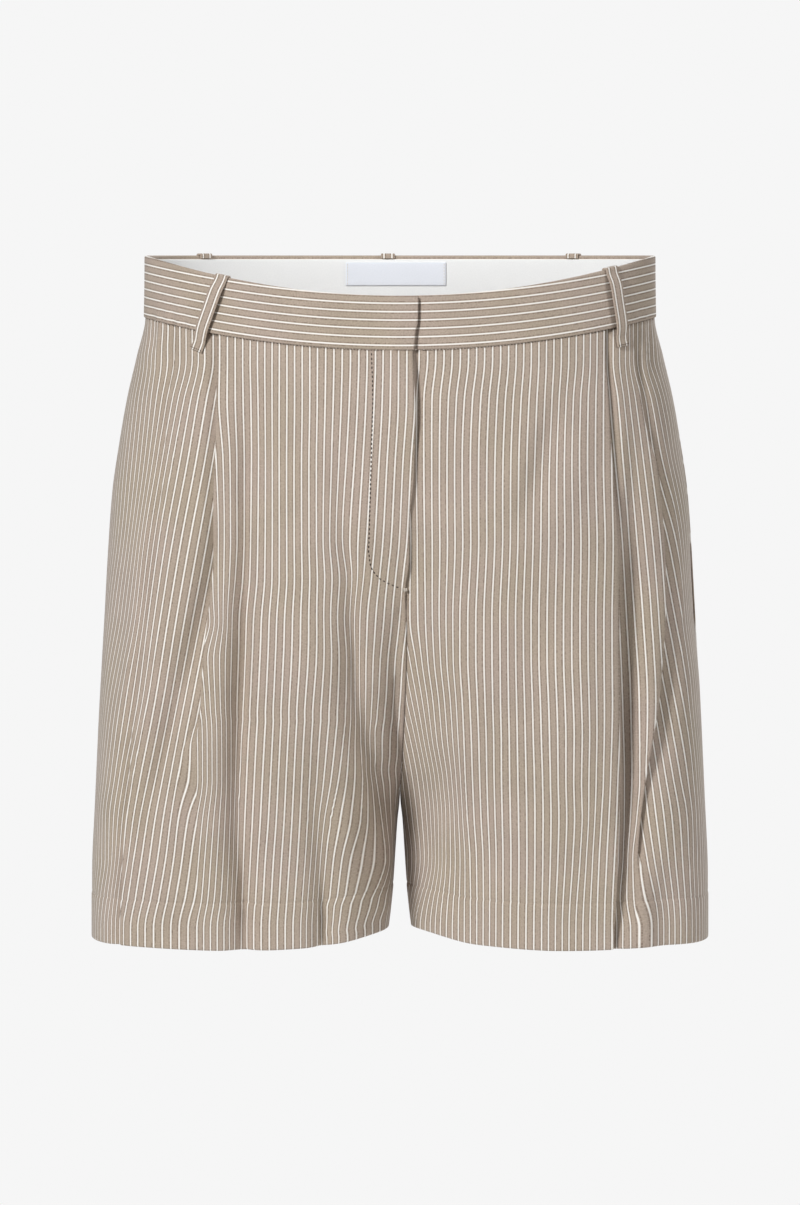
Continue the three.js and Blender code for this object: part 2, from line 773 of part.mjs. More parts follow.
const SIDES = { left: LEFT, right: RIGHT };
for (const [name, side] of Object.entries(SIDES)) {
  add("front_" + name, panel(FRONT, side));
  add("back_" + name, panel(BACK, side));
  add("waistband_front_" + name, frontBand(side));
  add("facing_front_" + name, frontFacing(side), facingCloth);
  add("pocket_bag_" + name, pocketBag(side), bagCloth);
}
add("waistband_back", backStrip(0, SEAM_Z, bandDepth, BAND_CLOTH));
add("facing_back", backStrip(-FACING_DROP, SEAM_Z, facingDepth, FACING_CLOTH), facingCloth);
add("label", label(), labelCloth);
add("zip", flyStrip(zipColumns, zipDepth, ZIP_CLOTH), tape);
add("fly_shield", flyStrip(shieldColumns, shieldDepth, CLOTH));

// Belt loops: where each one's top and end lie from the middle.
add("belt_loop_front_left", beltLoop(FRONT, LEFT, 144.4, 152.8));
add("belt_loop_front_right", beltLoop(FRONT, RIGHT, 121.5, 139.3));
add("belt_loop_back_left", beltLoop(BACK, LEFT, 123, 123));
add("belt_loop_back_centre", beltLoop(BACK, LEFT, -8.6, -8.6));
add("belt_loop_back_right", beltLoop(BACK, RIGHT, 138.4, 138.4));

export default shorts;
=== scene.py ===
"""Pinstriped bermuda shorts with pleated fronts, filled out as when worn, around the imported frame.

Millimetres in the tables, metres in Blender. X runs to the wearer's left, Y to the back and Z up.
"""

import math
from types import SimpleNamespace

import bpy
import numpy as np
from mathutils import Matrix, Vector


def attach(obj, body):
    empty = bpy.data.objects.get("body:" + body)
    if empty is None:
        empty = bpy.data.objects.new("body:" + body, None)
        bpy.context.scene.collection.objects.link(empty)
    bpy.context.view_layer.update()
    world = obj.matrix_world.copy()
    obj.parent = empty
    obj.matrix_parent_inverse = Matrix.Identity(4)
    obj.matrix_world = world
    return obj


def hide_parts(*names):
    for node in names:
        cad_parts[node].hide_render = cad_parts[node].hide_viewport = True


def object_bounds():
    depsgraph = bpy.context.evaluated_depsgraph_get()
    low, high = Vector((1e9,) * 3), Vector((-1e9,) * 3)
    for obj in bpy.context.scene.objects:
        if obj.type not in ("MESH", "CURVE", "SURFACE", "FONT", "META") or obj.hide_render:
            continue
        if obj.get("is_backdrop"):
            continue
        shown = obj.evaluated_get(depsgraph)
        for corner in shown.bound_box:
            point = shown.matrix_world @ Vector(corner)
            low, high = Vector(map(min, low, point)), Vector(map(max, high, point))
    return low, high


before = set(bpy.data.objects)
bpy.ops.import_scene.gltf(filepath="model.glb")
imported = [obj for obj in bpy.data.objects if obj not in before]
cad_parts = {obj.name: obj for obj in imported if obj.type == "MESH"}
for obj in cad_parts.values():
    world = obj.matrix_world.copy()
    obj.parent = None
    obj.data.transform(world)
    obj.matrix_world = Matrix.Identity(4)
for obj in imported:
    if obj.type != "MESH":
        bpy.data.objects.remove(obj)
CAD_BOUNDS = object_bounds()

bl_info = {
    "name": "Pinstriped bermuda shorts",
    "version": (1, 0, 0),
    "blender": (4, 5, 0),
    "location": "3D View > Sidebar > Shorts",
    "description": "Builds pleated bermuda shorts and a pale studio",
    "category": "Object",
}

MM = 0.001
BODY_NAME = "root"

# Cloth and seams
CLOTH = 1.2
HEM_CLOTH = 2.2
BAND_CLOTH = 2.4
FACING_CLOTH = 1.2
LABEL_CLOTH = 1.0
ZIP_CLOTH = 1.0
SEAM_GAP = 0.3
CLEAR = 0.4

# Heights
SEAM_Z = -43.3
CROTCH_Z = -378.7
HEM_Z = -475.3
HEM_DEPTH = 32
INSEAM_HEM_RISE = 5
HEM_SAG = 2.6

# Waistband
HALF_WAIST = 177.4
TOP_DIP = 27.4
SEAM_DIP = 21.1
DIP_FADE = 105
LAP_TOP = 12.7
LAP_SEAM = 9.6
FACING_DROP = 3

# Fly and pockets
FLY_END_Z = -228
FLY_STEP = 8
FLY_LIFT = 1.9
LIFT_FLAT = 2
LIFT_FADE = 14
JOIN_Z = -250
ZIP_WIDTH = 26
SHIELD_WIDTH = 38
POCKET_TOP_Z = -98
POCKET_END_Z = -202
POCKET_GAP = 1.2
BAG_WIDTH = 105
BAG_END_Z = -262
BAG_TOP_DEPTH = 9
BAG_DEPTH = 15
BAG_TOP_FADE = 70
BAG_SIDE_FADE = 42
BAG_CORNER = 28

# Belt loops
LOOP_WIDTH = 10
LOOP_CLOTH = 1.3
LOOP_BULGE = 2.3
LOOP_TAIL = 14

# Label on the back facing
LABEL_FROM = -39
LABEL_TO = 33
LABEL_TOP = -5
LABEL_END = -21.5

# Hem: where the front sags, and how high the hem rises at the inner leg
SAG_PLACE = 112
SAG_WIDTH = 60
RISE_FROM = 0.05 * HALF_WAIST
RISE_OVER = 0.25 * HALF_WAIST
HEM_STEP_FROM = 1.5
HEM_STEP_OVER = 2.5
HEM_PROUD = 0.3
EDGE_ROUND = 1.1
GROOVE_DEPTH = 0.5
GROOVE_WIDTH = 0.9

# Grids
ARC_SAMPLES = 72
NORMAL_STEP = 0.01
ROUNDING = 1e-9
SMOOTH_STEPS = 40
SMOOTH_REACH = 18
HEM_MARGIN = 5
TURN_STEPS = 6
HIDDEN_STEPS = 3
FADED_FOLD_SPAN = 16
PAST_FOLD = 1.5

LEFT, RIGHT = 1, -1
FRONT, BACK = -1, 1
HANDS = {LEFT: "left", RIGHT: "right"}


def smooth_through(heights, values, z):
    """A cubic through rows sorted from the waist down, whose slopes keep it from overshooting."""
    down = -np.asarray(heights, float)
    values = np.asarray(values, float)
    slope = np.diff(values) / np.diff(down)
    before, after = slope[:-1], slope[1:]
    total = np.where(before * after > 0, before + after, 1.0)
    inner = np.where(before * after > 0, 2 * before * after / total, 0.0)
    tangent = np.concatenate([[0.0], inner, [0.0]])
    q = np.clip(-np.asarray(z, float), down[0], down[-1])
    i = np.clip(np.searchsorted(down, q, side="right") - 1, 0, len(down) - 2)
    step = down[i + 1] - down[i]
    t = (q - down[i]) / step
    rise = values[i + 1] - values[i]
    start, end = tangent[i] * step, tangent[i + 1] * step
    return values[i] + t * (start + t * (3 * rise - 2 * start - end + t * (start + end - 2 * rise)))


def table(names, rows):
    """A table with named columns and a row for each height, as a function of height for each name."""
    heights = [row[0] for row in rows]
    columns = {
        name: (lambda z, v=[row[k] for row in rows]: smooth_through(heights, v, z))
        for k, name in enumerate(names)
    }
    return SimpleNamespace(**columns)


def tables(names, *lists):
    return [table(names, rows) for rows in lists]


BODY = table(
    ["z", "half_width", "peak", "front", "back", "front_power", "back_power"],
    [
        [0, HALF_WAIST, 8, 95, 100, 2.1, 2.1],
        [-43, 178, 12, 96, 103, 2.1, 2.1],
        [-70, 184, 17, 101, 110, 2.1, 2.1],
        [-100, 191, 22, 107, 118, 2.15, 2.15],
        [-130, 196.3, 27, 112, 126, 2.15, 2.2],
        [-165, 201.4, 34, 117, 133, 2.2, 2.2],
        [-205, 204.4, 44, 120, 136, 2.2, 2.2],
        [-250, 207, 58, 120, 134, 2.3, 2.25],
        [-311, 210.4, 78, 117, 124, 2.6, 2.35],
        [-379, 213.4, 98, 108, 108, 3.0, 2.5],
        [-430, 215.6, 106, 101, 99, 3.2, 2.6],
        [-476, 215.8, 108, 98, 94, 3.2, 2.6],
    ],
)

# Below the crotch: how far each inner leg stays from the middle.
LEGS = table(
    ["z", "inner"],
    [[CROTCH_Z, 0.75], [-395, 2.3], [-416, 3.7], [-437, 5.1], [-458, 7.2], [-476, 9.0]],
)

# The edge of the fly and, below it, the centre front seam, to the wearer's left of the middle.
CENTRE_FRONT = table(
    ["z", "edge"],
    [
        [-60, 8.6],
        [-107, 10.6],
        [-150, 9.6],
        [-181, 6.9],
        [-209, 6.5],
        [-229, 4.1],
        [-263, 4.7],
        [-346, 1.7],
        [CROTCH_Z, 0],
    ],
)

# Pleats of each front, each opening to the side: place of the edge, width turned under, radius of the
# turns, spread of the hidden layer, reach of the step beyond the edge, and how much of the fold is left.
PLEAT_COLUMNS = ["z", "edge", "under", "turn", "spread", "reach", "left"]
PLEATS = {
    LEFT: tables(
        PLEAT_COLUMNS,
        [
            [-60, 141.4, 18, 1.1, 0.3, 8, 1],
            [-104, 143.6, 16, 1.1, 0.8, 10, 1],
            [-154, 146.6, 12, 1.1, 1.5, 12, 1],
            [-228, 151.5, 9, 1.1, 4.0, 17, 1],
            [-330, 151.5, 9, 1.1, 5.0, 17, 1],
            [-434, 149.0, 6, 1.2, 3.0, 14, 1],
            [-476, 146.5, 3, 1.2, 1.5, 12, 1],
        ],
        [
            [-50, 161, 12, 1.1, 0.2, 12, 1],
            [-112, 169, 14, 1.1, 0.5, 14, 1],
            [-158, 180, 14, 1.1, 1.0, 18, 1],
            [-228, 184, 13, 1.2, 2.0, 22, 1],
            [-290, 182, 11, 1.2, 3.0, 24, 1],
            [-352, 172, 6, 1.2, 2.0, 24, 1],
            [-395, 166, 2, 1.2, 1.0, 22, 1],
            [-440, 162, 2, 1.2, 0.5, 20, 0],
        ],
    ),
    RIGHT: tables(
        PLEAT_COLUMNS,
        [
            [-60, 125.6, 16, 1.1, 0.3, 10, 1],
            [-132, 126.5, 12, 1.1, 0.8, 12, 1],
            [-186, 129.5, 9, 1.1, 1.5, 15, 1],
            [-230, 132.5, 6, 1.1, 2.0, 18, 1],
            [-272, 135, 3.5, 1.1, 2.0, 20, 1],
            [-306, 136.5, 2, 1.1, 1.5, 20, 1],
            [-350, 138, 2, 1.1, 1.0, 20, 0],
        ],
        [
            [-50, 155, 10, 1.1, 0.2, 10, 1],
            [-112, 161, 5, 1.1, 0.4, 12, 1],
            [-158, 164, 2.5, 1.1, 0.6, 14, 1],
            [-240, 173, 2.5, 1.1, 0.8, 14, 1],
            [-360, 187, 5, 1.2, 1.5, 12, 1],
            [-427, 192, 5, 1.2, 1.5, 12, 1],
            [-476, 193, 3, 1.2, 1.0, 12, 1],
        ],
    ),
}

# Where single stripes of each front cross a level, as seen by the camera: z, then x for each stripe's number
# in the first row.
# Numbers rise to the wearer's right on the left front, and to the side on the right one.
STRIPES = {}
STRIPES[LEFT, 0] = [
    [None, 35, 30, 25, 20, 15, 10, 5, 2, 0],
    [-73, -38, -10, 19, 47.6, 75.6, 102, 128, 142, 153],
    [-101, -39, -11, 16.8, 44.8, 73.5, 101, 126, 142, 153],
    [-143, -39, -11, 16.8, 43.4, 72, 99.4, 125.3, 142, 153.5],
    [-199, -36, -8, 16.8, 43.4, 71.4, 98, 126, 143, 154],
    [-255, -37, -10, 17.5, 41.3, 69.3, 96.6, 125.3, 142, 153.3],
    [-283, -28, -2, 19, 41.3, 69.3, 96.6, 125.3, 142, 153.3],
    [-311, -20, 4, 22.4, 42.7, 69.3, 97.3, 126, 142, 153.3],
    [-339, -8, 10.5, 25.2, 44, 70, 98, 126.7, 142, 152.6],
    [-367, -2, 16, 30, 45.5, 70.7, 99.4, 126.7, 142, 152],
    [-395, 2, 19, 32.2, 47, 71.4, 100, 127.4, 140.7, 151.2],
    [-423, 5.6, 20.3, 32.2, 49, 72, 100, 126, 139.3, 150],
    [-472, 3, 11.2, 28.7, 49.7, 72, 99.4, 123.2, 138, 148.4],
]
STRIPES[LEFT, 1] = [
    [None, 0, -2, -4, -6, -8],
    [-73, 132, 140.7, 149, 157.5, 163],
    [-101, 130, 141.4, 152.6, 160.3, 168.7],
    [-143, 134, 145, 156, 165.2, 175],
    [-199, 140.7, 150.5, 160.3, 171.5, 182],
    [-255, 143.5, 153.3, 164.5, 176.4, 186.2],
    [-311, 145.6, 156, 168, 179.2, 189],
    [-367, 148.4, 157.5, 168.7, 176.4, 184.8],
    [-395, 149.8, 157.5, 166.6, 173.6, 180.6],
    [-423, 149.8, 156.8, 163.8, 172.2, 183.4],
    [-451, 148.4, 154.7, 164.5, 174.3, 186.2],
    [-472, 148.4, 156.8, 167.3, 177, 189],
]
STRIPES[LEFT, 2] = [
    [None, -8, -12, -14, -16, -18, -20, -24],
    [-73, 130, 148, 156, 163, 169, 175.7, 187],
    [-101, 132, 151, 160, 168, 175.7, 182.7, 194],
    [-143, 133, 151, 162, 173, 183.4, 191.8, 203],
    [-199, 143, 165, 176, 187.6, 198, 205, 213],
    [-255, 154, 176, 187.6, 198, 207, 212, 218],
    [-311, 167, 187, 198, 208, 213, 217, 222],
    [-367, 176.4, 196.7, 207, 212, 216, 219, 224],
    [-395, 180, 201.6, 208.6, 213, 217, 220, 225],
    [-423, 183.4, 203, 208.6, 213, 217, 220, 225],
    [-472, 189, 205, 210, 213.5, 217, 220, 225],
]
STRIPES[RIGHT, 0] = [
    [None, -3, 0, 3, 6, 10, 15, 19, 21, 24],
    [-73, -16.8, 0.7, 16.8, 34.3, 57.4, 84, 104.3, 114.8, 131],
    [-101, -16.8, 0.7, 17.5, 35, 57.4, 84, 103.6, 114.8, 131.6],
    [-143, -14, 2.8, 19.6, 37, 58, 84, 103, 114, 128],
    [-199, -11.2, 5.6, 23, 40, 58, 84, 103.6, 114, 126.7],
    [-227, -8.4, 8.4, 25.2, 37.1, 57.4, 84, 104.3, 115.5, 126.7],
    [-255, -6.3, 10.5, 27.3, 38.5, 57.4, 85.4, 106.4, 117.6, 126.5],
    [-283, -2.8, 13.5, 28, 37.3, 58.1, 86.8, 107.8, 118.3, 130.2],
    [-311, -1, 15, 28, 37.8, 60.2, 88.2, 109.2, 119, 129.5],
    [-339, 2, 18, 28, 40, 62.3, 89.6, 111.3, 119, 128.8],
    [-367, 2.8, 16.8, 26.6, 43.4, 63.7, 91, 112.7, 119, 128.8],
    [-395, 3.5, 13.3, 28, 49, 65, 92.4, 114, 119.5, 131],
    [-423, 2.1, 10.5, 35, 52.5, 66.5, 94.5, 114.8, 120.4, 133],
    [-451, 5.6, 19, 39.2, 54.5, 68.6, 96, 116.2, 121.8, 135],
    [-472, 9.8, 25.2, 43.4, 55.3, 70, 97.3, 117, 124, 138],
]
STRIPES[RIGHT, 1] = [
    [None, 24, 28, 31, 34, 36, 38, 41, 44, 48],
    [-73, 69, 92, 108, 125, 136.5, 145, 158, 171, 181],
    [-101, 73, 96, 113, 129.5, 141.4, 151, 163, 174, 185.5],
    [-143, 80, 103, 120, 136.5, 148.4, 159, 170, 178.5, 190],
    [-199, 90, 113, 129.5, 147, 159, 168.7, 179, 186, 194.6],
    [-255, 101, 123, 140, 156.8, 168, 176.4, 185.5, 193, 203],
    [-311, 112, 134.4, 150.5, 166, 177, 183.4, 196, 204, 213.5],
    [-367, 128.8, 146.3, 161, 177, 187.6, 194, 203, 210, 217],
    [-395, 131, 150.5, 166, 182.7, 191.8, 198, 206.5, 213, 219],
    [-423, 133, 153.3, 170, 187, 194.6, 200, 206.5, 213.5, 219],
    [-451, 135, 157.5, 175, 191, 198.8, 203, 210, 215.6, 220],
    [-472, 138, 161, 179, 194, 200, 205, 211.4, 217, 222],
]
STRIPES[RIGHT, 2] = STRIPES[RIGHT, 1]
STRIPE_PITCH = 5.74
CAMERA_DISTANCE = 4500

# Largest soft folds: a valley where depth is above 0 and a ridge below it.
FOLD_COLUMNS = ["z", "place", "depth", "width"]
FOLDS = {
    (FRONT, LEFT): tables(
        FOLD_COLUMNS,
        [[-150, 172, 0, 10], [-260, 168, 4, 10], [-380, 161, 5, 9], [-440, 158, 2, 8]],
        [[-250, 100, 0, 26], [-340, 104, -3, 24], [-440, 108, 0, 26]],
        [
            [-60, 10.9, 2.4, 2.6],
            [-107, 12.9, 2.4, 2.6],
            [-150, 11.9, 2.4, 2.6],
            [-209, 8.8, 2.2, 2.6],
            [-229, 6.4, 1.6, 2.6],
            [-248, 6, 0, 2.6],
        ],
    ),
    (FRONT, RIGHT): tables(
        FOLD_COLUMNS,
        [
            [-150, 119, 0, 10],
            [-206, 118, 6, 11],
            [-310, 115, 11, 11],
            [-410, 111, 14, 11],
            [-476, 108, 11, 10],
        ],
        [[-190, 35, 0, 16], [-300, 31, 6, 12], [-375, 16, 3, 10], [-420, 14, 0, 10]],
        [[-395, 48, 0, 10], [-450, 50, 4, 9], [-476, 51, 6, 9]],
    ),
    (BACK, LEFT): tables(
        FOLD_COLUMNS,
        [[-180, 120, 0, 22], [-320, 112, 5, 20], [-476, 104, 7, 18]],
        [[-260, 170, 0, 16], [-400, 176, 4, 14], [-476, 178, 5, 14]],
    ),
    (BACK, RIGHT): tables(
        FOLD_COLUMNS,
        [[-200, 96, 0, 22], [-340, 98, 6, 18], [-476, 92, 6, 18]],
        [[-220, 158, 0, 18], [-360, 168, 5, 15], [-476, 172, 4, 14]],
    ),
}

# Smaller creases, each along a line: x and z of both ends, depth (ridges below 0) and width.
CREASES = {
    (FRONT, LEFT): [
        [166, -20, 167, -86, 1.3, 2.6],
        [172, -26, 175, -96, 1.5, 2.4],
        [16, -60, 13, -140, 2.4, 8],
        [30, -70, 22, -170, -1.5, 9],
        [60, -75, 44, -190, -1.5, 12],
        [114, -85, 84, -190, 3.2, 9],
        [96, -90, 66, -200, -1.8, 10],
        [130, -110, 106, -200, -1.9, 10],
        [88, -230, 92, -340, 2.7, 12],
        [122, -230, 124, -420, -2.3, 12],
        [60, -240, 58, -360, -1.9, 13],
        [20, -330, 62, -430, 2.2, 10],
        [10, -300, 34, -420, -1.6, 9],
        [98, -370, 120, -470, -1.9, 13],
        [34, -400, 40, -474, 2.4, 7],
        [162, -90, 161, -440, 10, 8],
        [184, -390, 187, -560, 7, 13],
        [160, -400, 158, -480, 3, 6],
        [192, -240, 180, -380, 4, 8],
        [188, -110, 196, -230, 1.9, 8],
        [202, -180, 206, -300, 1.6, 7],
        [194, -300, 186, -420, 1.6, 9],
    ],
    (FRONT, RIGHT): [
        [149, -20, 147, -92, 1.4, 2.6],
        [157, -24, 156, -84, 1.7, 2.4],
        [164, -18, 165, -98, 1.3, 2.8],
        [170, -26, 172, -80, 1.6, 2.2],
        [84, -64, 76, -150, -2.2, 12],
        [98, -70, 94, -180, 1.6, 8],
        [60, -70, 58, -140, 1.2, 9],
        [42, -110, 38, -240, 3.2, 8],
        [28, -150, 26, -250, -1.4, 7],
        [72, -190, 60, -330, -1.9, 13],
        [108, -50, 106, -420, 11, 7.5],
        [107, -400, 106, -490, 5.4, 3.4],
        [120, -150, 119, -420, -1.6, 6],
        [96, -220, 94, -420, -1.6, 8],
        [112, -130, 190, -450, 9.5, 8.5],
        [12, -235, 10, -350, 5, 22],
        [166, -230, 186, -360, -1.9, 9],
        [122, -240, 128, -380, -1.6, 6],
        [166, -90, 176, -200, 1.6, 8],
        [190, -200, 200, -330, 1.9, 7],
        [38, -170, 22, -350, 7, 8],
        [20, -290, 12, -400, 6, 7],
        [52, -425, 50, -490, 3.4, 3],
        [58, -300, 50, -500, 5, 8],
        [40, -350, 36, -440, -3.5, 9],
        [150, -390, 160, -470, -1.9, 11],
        [182, -330, 176, -440, 1.9, 7],
    ],
    (BACK, LEFT): [
        [40, -330, 110, -300, 1.6, 12],
        [20, -350, 90, -380, 2.2, 12],
        [14, -300, 60, -240, -1.2, 14],
        [82, -44, 84, -128, 2.2, 5],
        [150, -120, 168, -240, 1.2, 12],
        [60, -400, 70, -470, 1.6, 12],
        [130, -330, 140, -470, -1.6, 14],
    ],
    (BACK, RIGHT): [
        [36, -340, 120, -318, 1.8, 12],
        [18, -356, 84, -392, 2, 12],
        [16, -290, 70, -250, -1.1, 14],
        [82, -44, 84, -128, 2.2, 5],
        [140, -110, 160, -250, 1.2, 12],
        [130, -400, 126, -470, 1.9, 12],
        [60, -360, 50, -470, -1.6, 14],
    ],
}

# Share of a crease's length over which it fades in at each end.
CREASE_FADE = 0.4

CENTRE_POWER = {FRONT: 3.2, BACK: 5}
MOST_SHARE = 0.998
INNER_POWER = {(FRONT, LEFT): 1.6, (FRONT, RIGHT): 2.3, (BACK, LEFT): 1.9, (BACK, RIGHT): 1.9}


def ease(t):
    """Rises from 0 to 1 with level ends."""
    t = np.clip(t, 0, 1)
    return t * t * (3 - 2 * t)


def mix(a, b, t):
    return a + (b - a) * t


def waist_share(x):
    return 1 - np.minimum(1, np.abs(x) / HALF_WAIST) ** 2


def top_z(x, face):
    """Height of the waistband's top edge: a parabola's dip across the front."""
    return -TOP_DIP * waist_share(x) if face == FRONT else 0 * x


def seam_z(x, face):
    """Height of the waistband's lower seam."""
    return SEAM_Z - (SEAM_DIP * waist_share(x) if face == FRONT else 0 * x)


def section_shape(z, face, side):
    """The named sizes of the level section at each height."""
    inner = INNER_POWER[face, side]
    above = z > CROTCH_Z
    t = np.clip(z / CROTCH_Z, 0, 1)
    arc_share = np.sqrt(np.maximum(0, 1 - t ** CENTRE_POWER[face]))
    share = np.where(above, np.minimum(MOST_SHARE, arc_share), 0.0)
    cut = (1 - share**inner) ** (1 / inner)
    peak = BODY.peak(z)
    return SimpleNamespace(
        inner=inner,
        outer=(BODY.front_power if face == FRONT else BODY.back_power)(z),
        peak=peak,
        depth=(BODY.front if face == FRONT else BODY.back)(z) * face,
        inner_reach=np.where(above, peak / cut, peak - LEGS.inner(z)),
        outer_reach=BODY.half_width(z) - CLOTH / 2 - peak,
        first=np.arctan2(share, cut),
    )


def on_section(shape, angle):
    """A point of a section: a superellipse in polar form, with its own reach and power on each half."""
    c, d = np.cos(angle), np.sin(angle)
    power = np.where(c > 0, shape.inner, shape.outer)
    radius = (np.abs(c) ** power + np.abs(d) ** power) ** (-1 / power)
    x = shape.peak - c * radius * np.where(c > 0, shape.inner_reach, shape.outer_reach)
    return x, shape.depth * np.sign(d) * np.abs(d) * radius


def section_arcs(z, face, side):
    """Angles, distances from the middle and arc lengths along the section at each height."""
    shape = section_shape(z[:, None], face, side)
    angle = mix(shape.first, math.pi, np.linspace(0, 1, ARC_SAMPLES + 1)[None, :])
    x, y = on_section(shape, angle)
    steps = np.hypot(np.diff(x, axis=1), np.diff(y, axis=1))
    arc = np.concatenate([np.zeros((len(z), 1)), np.cumsum(steps, axis=1)], axis=1)
    return angle, x, arc


def read_rows(keys, values, wanted):
    """Reads each row's value where its rising key reaches the wanted one, and runs on past its end."""
    row = np.arange(len(keys))
    i = np.clip((keys <= wanted[:, None]).sum(1) - 1, 0, keys.shape[1] - 2)
    k0, k1, v0, v1 = keys[row, i], keys[row, i + 1], values[row, i], values[row, i + 1]
    return v0 + (v1 - v0) * (wanted - k0) / (k1 - k0)


def along(z, face, side, s):
    """Points and inward normals of sections at arc lengths from their start. Before it, the other side's."""
    z, s = np.broadcast_arrays(np.asarray(z, float), np.asarray(s, float))
    out = [np.zeros(z.shape) for _ in range(4)]
    for mirrored in (False, True):
        mask = (s < -ROUNDING) == mirrored
        if not mask.any():
            continue
        own = -side if mirrored else side
        angle, _, arc = section_arcs(z[mask], face, own)
        at = read_rows(arc, angle, np.abs(s[mask]))
        shape = section_shape(z[mask], face, own)
        x, y = on_section(shape, at)
        ahead = on_section(shape, at + NORMAL_STEP)
        behind = on_section(shape, at - NORMAL_STEP)
        tx, ty = ahead[0] - behind[0], ahead[1] - behind[1]
        size = np.hypot(tx, ty)
        sign = -1 if mirrored else 1
        for target, value in zip(out, (sign * x, y, sign * face * ty / size, -face * tx / size)):
            target[mask] = value
    return out


def arc_at(z, face, side, x):
    """Arc length at which each section reaches a distance from the middle."""
    z, x = np.broadcast_arrays(np.asarray(z, float), np.asarray(x, float))
    out = np.zeros(z.shape)
    for mirrored in (False, True):
        mask = (x < 0) == mirrored
        if mask.any():
            _, xs, arc = section_arcs(z[mask], face, -side if mirrored else side)
            reached = np.clip(np.abs(x[mask]), xs[:, 0], xs[:, -1])
            out[mask] = (-1 if mirrored else 1) * read_rows(xs, arc, reached)
    return out


def section_length(z, face, side):
    z = np.asarray(z, float)
    return section_arcs(z.ravel(), face, side)[2][:, -1].reshape(z.shape)


def fold_depth(z, face, side, x):
    """How far the soft folds and creases push the cloth in: bell-shaped valleys and ridges."""
    x = np.abs(x)
    depth = np.zeros(np.broadcast(z, x).shape)
    for fold in FOLDS[face, side]:
        away = (x - fold.place(z)) / fold.width(z)
        depth += fold.depth(z) * np.exp(-away * away)
    for x0, z0, x1, z1, deep, width in CREASES[face, side]:
        dx, dz = x1 - x0, z1 - z0
        length = math.hypot(dx, dz)
        t = ((x - x0) * dx + (z - z0) * dz) / length**2
        away = ((x - x0) * dz - (z - z0) * dx) / length / width
        depth += deep * np.exp(-away * away) * ease(t / CREASE_FADE) * ease((1 - t) / CREASE_FADE)
    return depth


def place(z, face, side, s, h):
    """Points of the garment at heights, arc lengths and depths under the plain section."""
    x, y, nx, ny = along(z, face, side, s)
    z, s = np.broadcast_arrays(np.asarray(z, float), np.asarray(s, float))
    depth = h + np.where(s < 0, 0, fold_depth(z, face, side, x))
    return np.stack([side * (x + nx * depth), y + ny * depth, z], axis=-1)


# Columns of a front row: how many stretches before each pleat and after the last.
FRONT_STEPS = {LEFT: [62, 12, 26], RIGHT: [58, 16, 26]}


def front_columns(side):
    """Names each column of a front row: its stretch, its place in it, and its part of a pleat."""
    columns = []
    for number in range(2):
        steps = FRONT_STEPS[side][number]
        columns += [(number, "flat", k / steps, 0.0) for k in range(steps)]
        pleat = [("out", k / TURN_STEPS) for k in range(TURN_STEPS + 1)]
        pleat += [("hidden", k / (HIDDEN_STEPS + 1)) for k in range(1, HIDDEN_STEPS + 1)]
        pleat += [("back", k / TURN_STEPS) for k in range(TURN_STEPS + 1)]
        pleat += [("beneath", k / (HIDDEN_STEPS + 1)) for k in range(1, HIDDEN_STEPS + 1)]
        columns += [(number, kind, t, k / (len(pleat) - 1)) for k, (kind, t) in enumerate(pleat)]
    steps = FRONT_STEPS[side][2]
    columns += [(2, "flat", k / steps, 0.0) for k in range(steps + 1)]
    part, kind, t, share = (np.array(values) for values in zip(*columns))
    return SimpleNamespace(part=part, kind=kind, t=t, share=share, flat=kind == "flat")


def front_row(z, side, columns):
    """Arc lengths and depths of level rows of a front, for each column at its own height."""
    part, kind = columns.part[None, :], columns.kind[None, :]
    t, share = columns.t[None, :], columns.share[None, :]
    fly_left = ease((z - FLY_END_Z + FLY_STEP) / FLY_STEP)
    edge = np.where(z > CROTCH_Z, CENTRE_FRONT.edge(z), 0)
    start = -edge if side == RIGHT else mix(edge + SEAM_GAP, SEAM_GAP, fly_left)
    lift = FLY_LIFT * ease((z - JOIN_Z) / LIFT_FADE) if side == RIGHT else 0 * z
    passed = []

    def sunk(s):
        total = -lift * (1 - ease((s - LIFT_FLAT) / LIFT_FADE))
        for fold, depth, reach in passed:
            total = total + depth * (1 - ease((s - fold) / reach))
        return total

    s_all, h_all = np.zeros(z.shape), np.zeros(z.shape)
    begin = np.where(z > CROTCH_Z, arc_at(z, FRONT, side, start), 0)
    for number, pleat in enumerate(PLEATS[side]):
        left, turn, under = pleat.left(z), pleat.turn(z), pleat.under(z)
        fold = arc_at(z, FRONT, side, pleat.edge(z))
        hidden = 2 * turn + pleat.spread(z)
        flat_s = mix(begin, fold - turn, t)
        flat_h = sunk(flat_s)
        angle = math.pi * t
        shapes = {
            "out": (fold - turn + turn * np.sin(angle), turn * (1 - np.cos(angle))),
            "hidden": (mix(fold - turn, fold - under, t), mix(2 * turn, hidden, t)),
            "back": (fold - under - turn * np.sin(angle), hidden + turn * (1 - np.cos(angle))),
            "beneath": (mix(fold - under, fold + PAST_FOLD, t), hidden + 2 * turn),
        }
        faded = fold - turn + FADED_FOLD_SPAN * share
        here = (part == number) & columns.flat
        s_all, h_all = np.where(here, flat_s, s_all), np.where(here, flat_h, h_all)
        for name, (s, h) in shapes.items():
            here = (part == number) & (kind == name)
            shown = mix(faded, s, left)
            s_all = np.where(here, shown, s_all)
            h_all = np.where(here, left * h + sunk(shown), h_all)
        passed.append((fold, left * (hidden + 2 * turn), pleat.reach(z)))
        begin = mix(fold - turn + FADED_FOLD_SPAN, fold, left) + PAST_FOLD
    last_s = mix(begin, section_length(z, FRONT, side), t)
    return np.where(part == 2, last_s, s_all), np.where(part == 2, sunk(last_s), h_all)


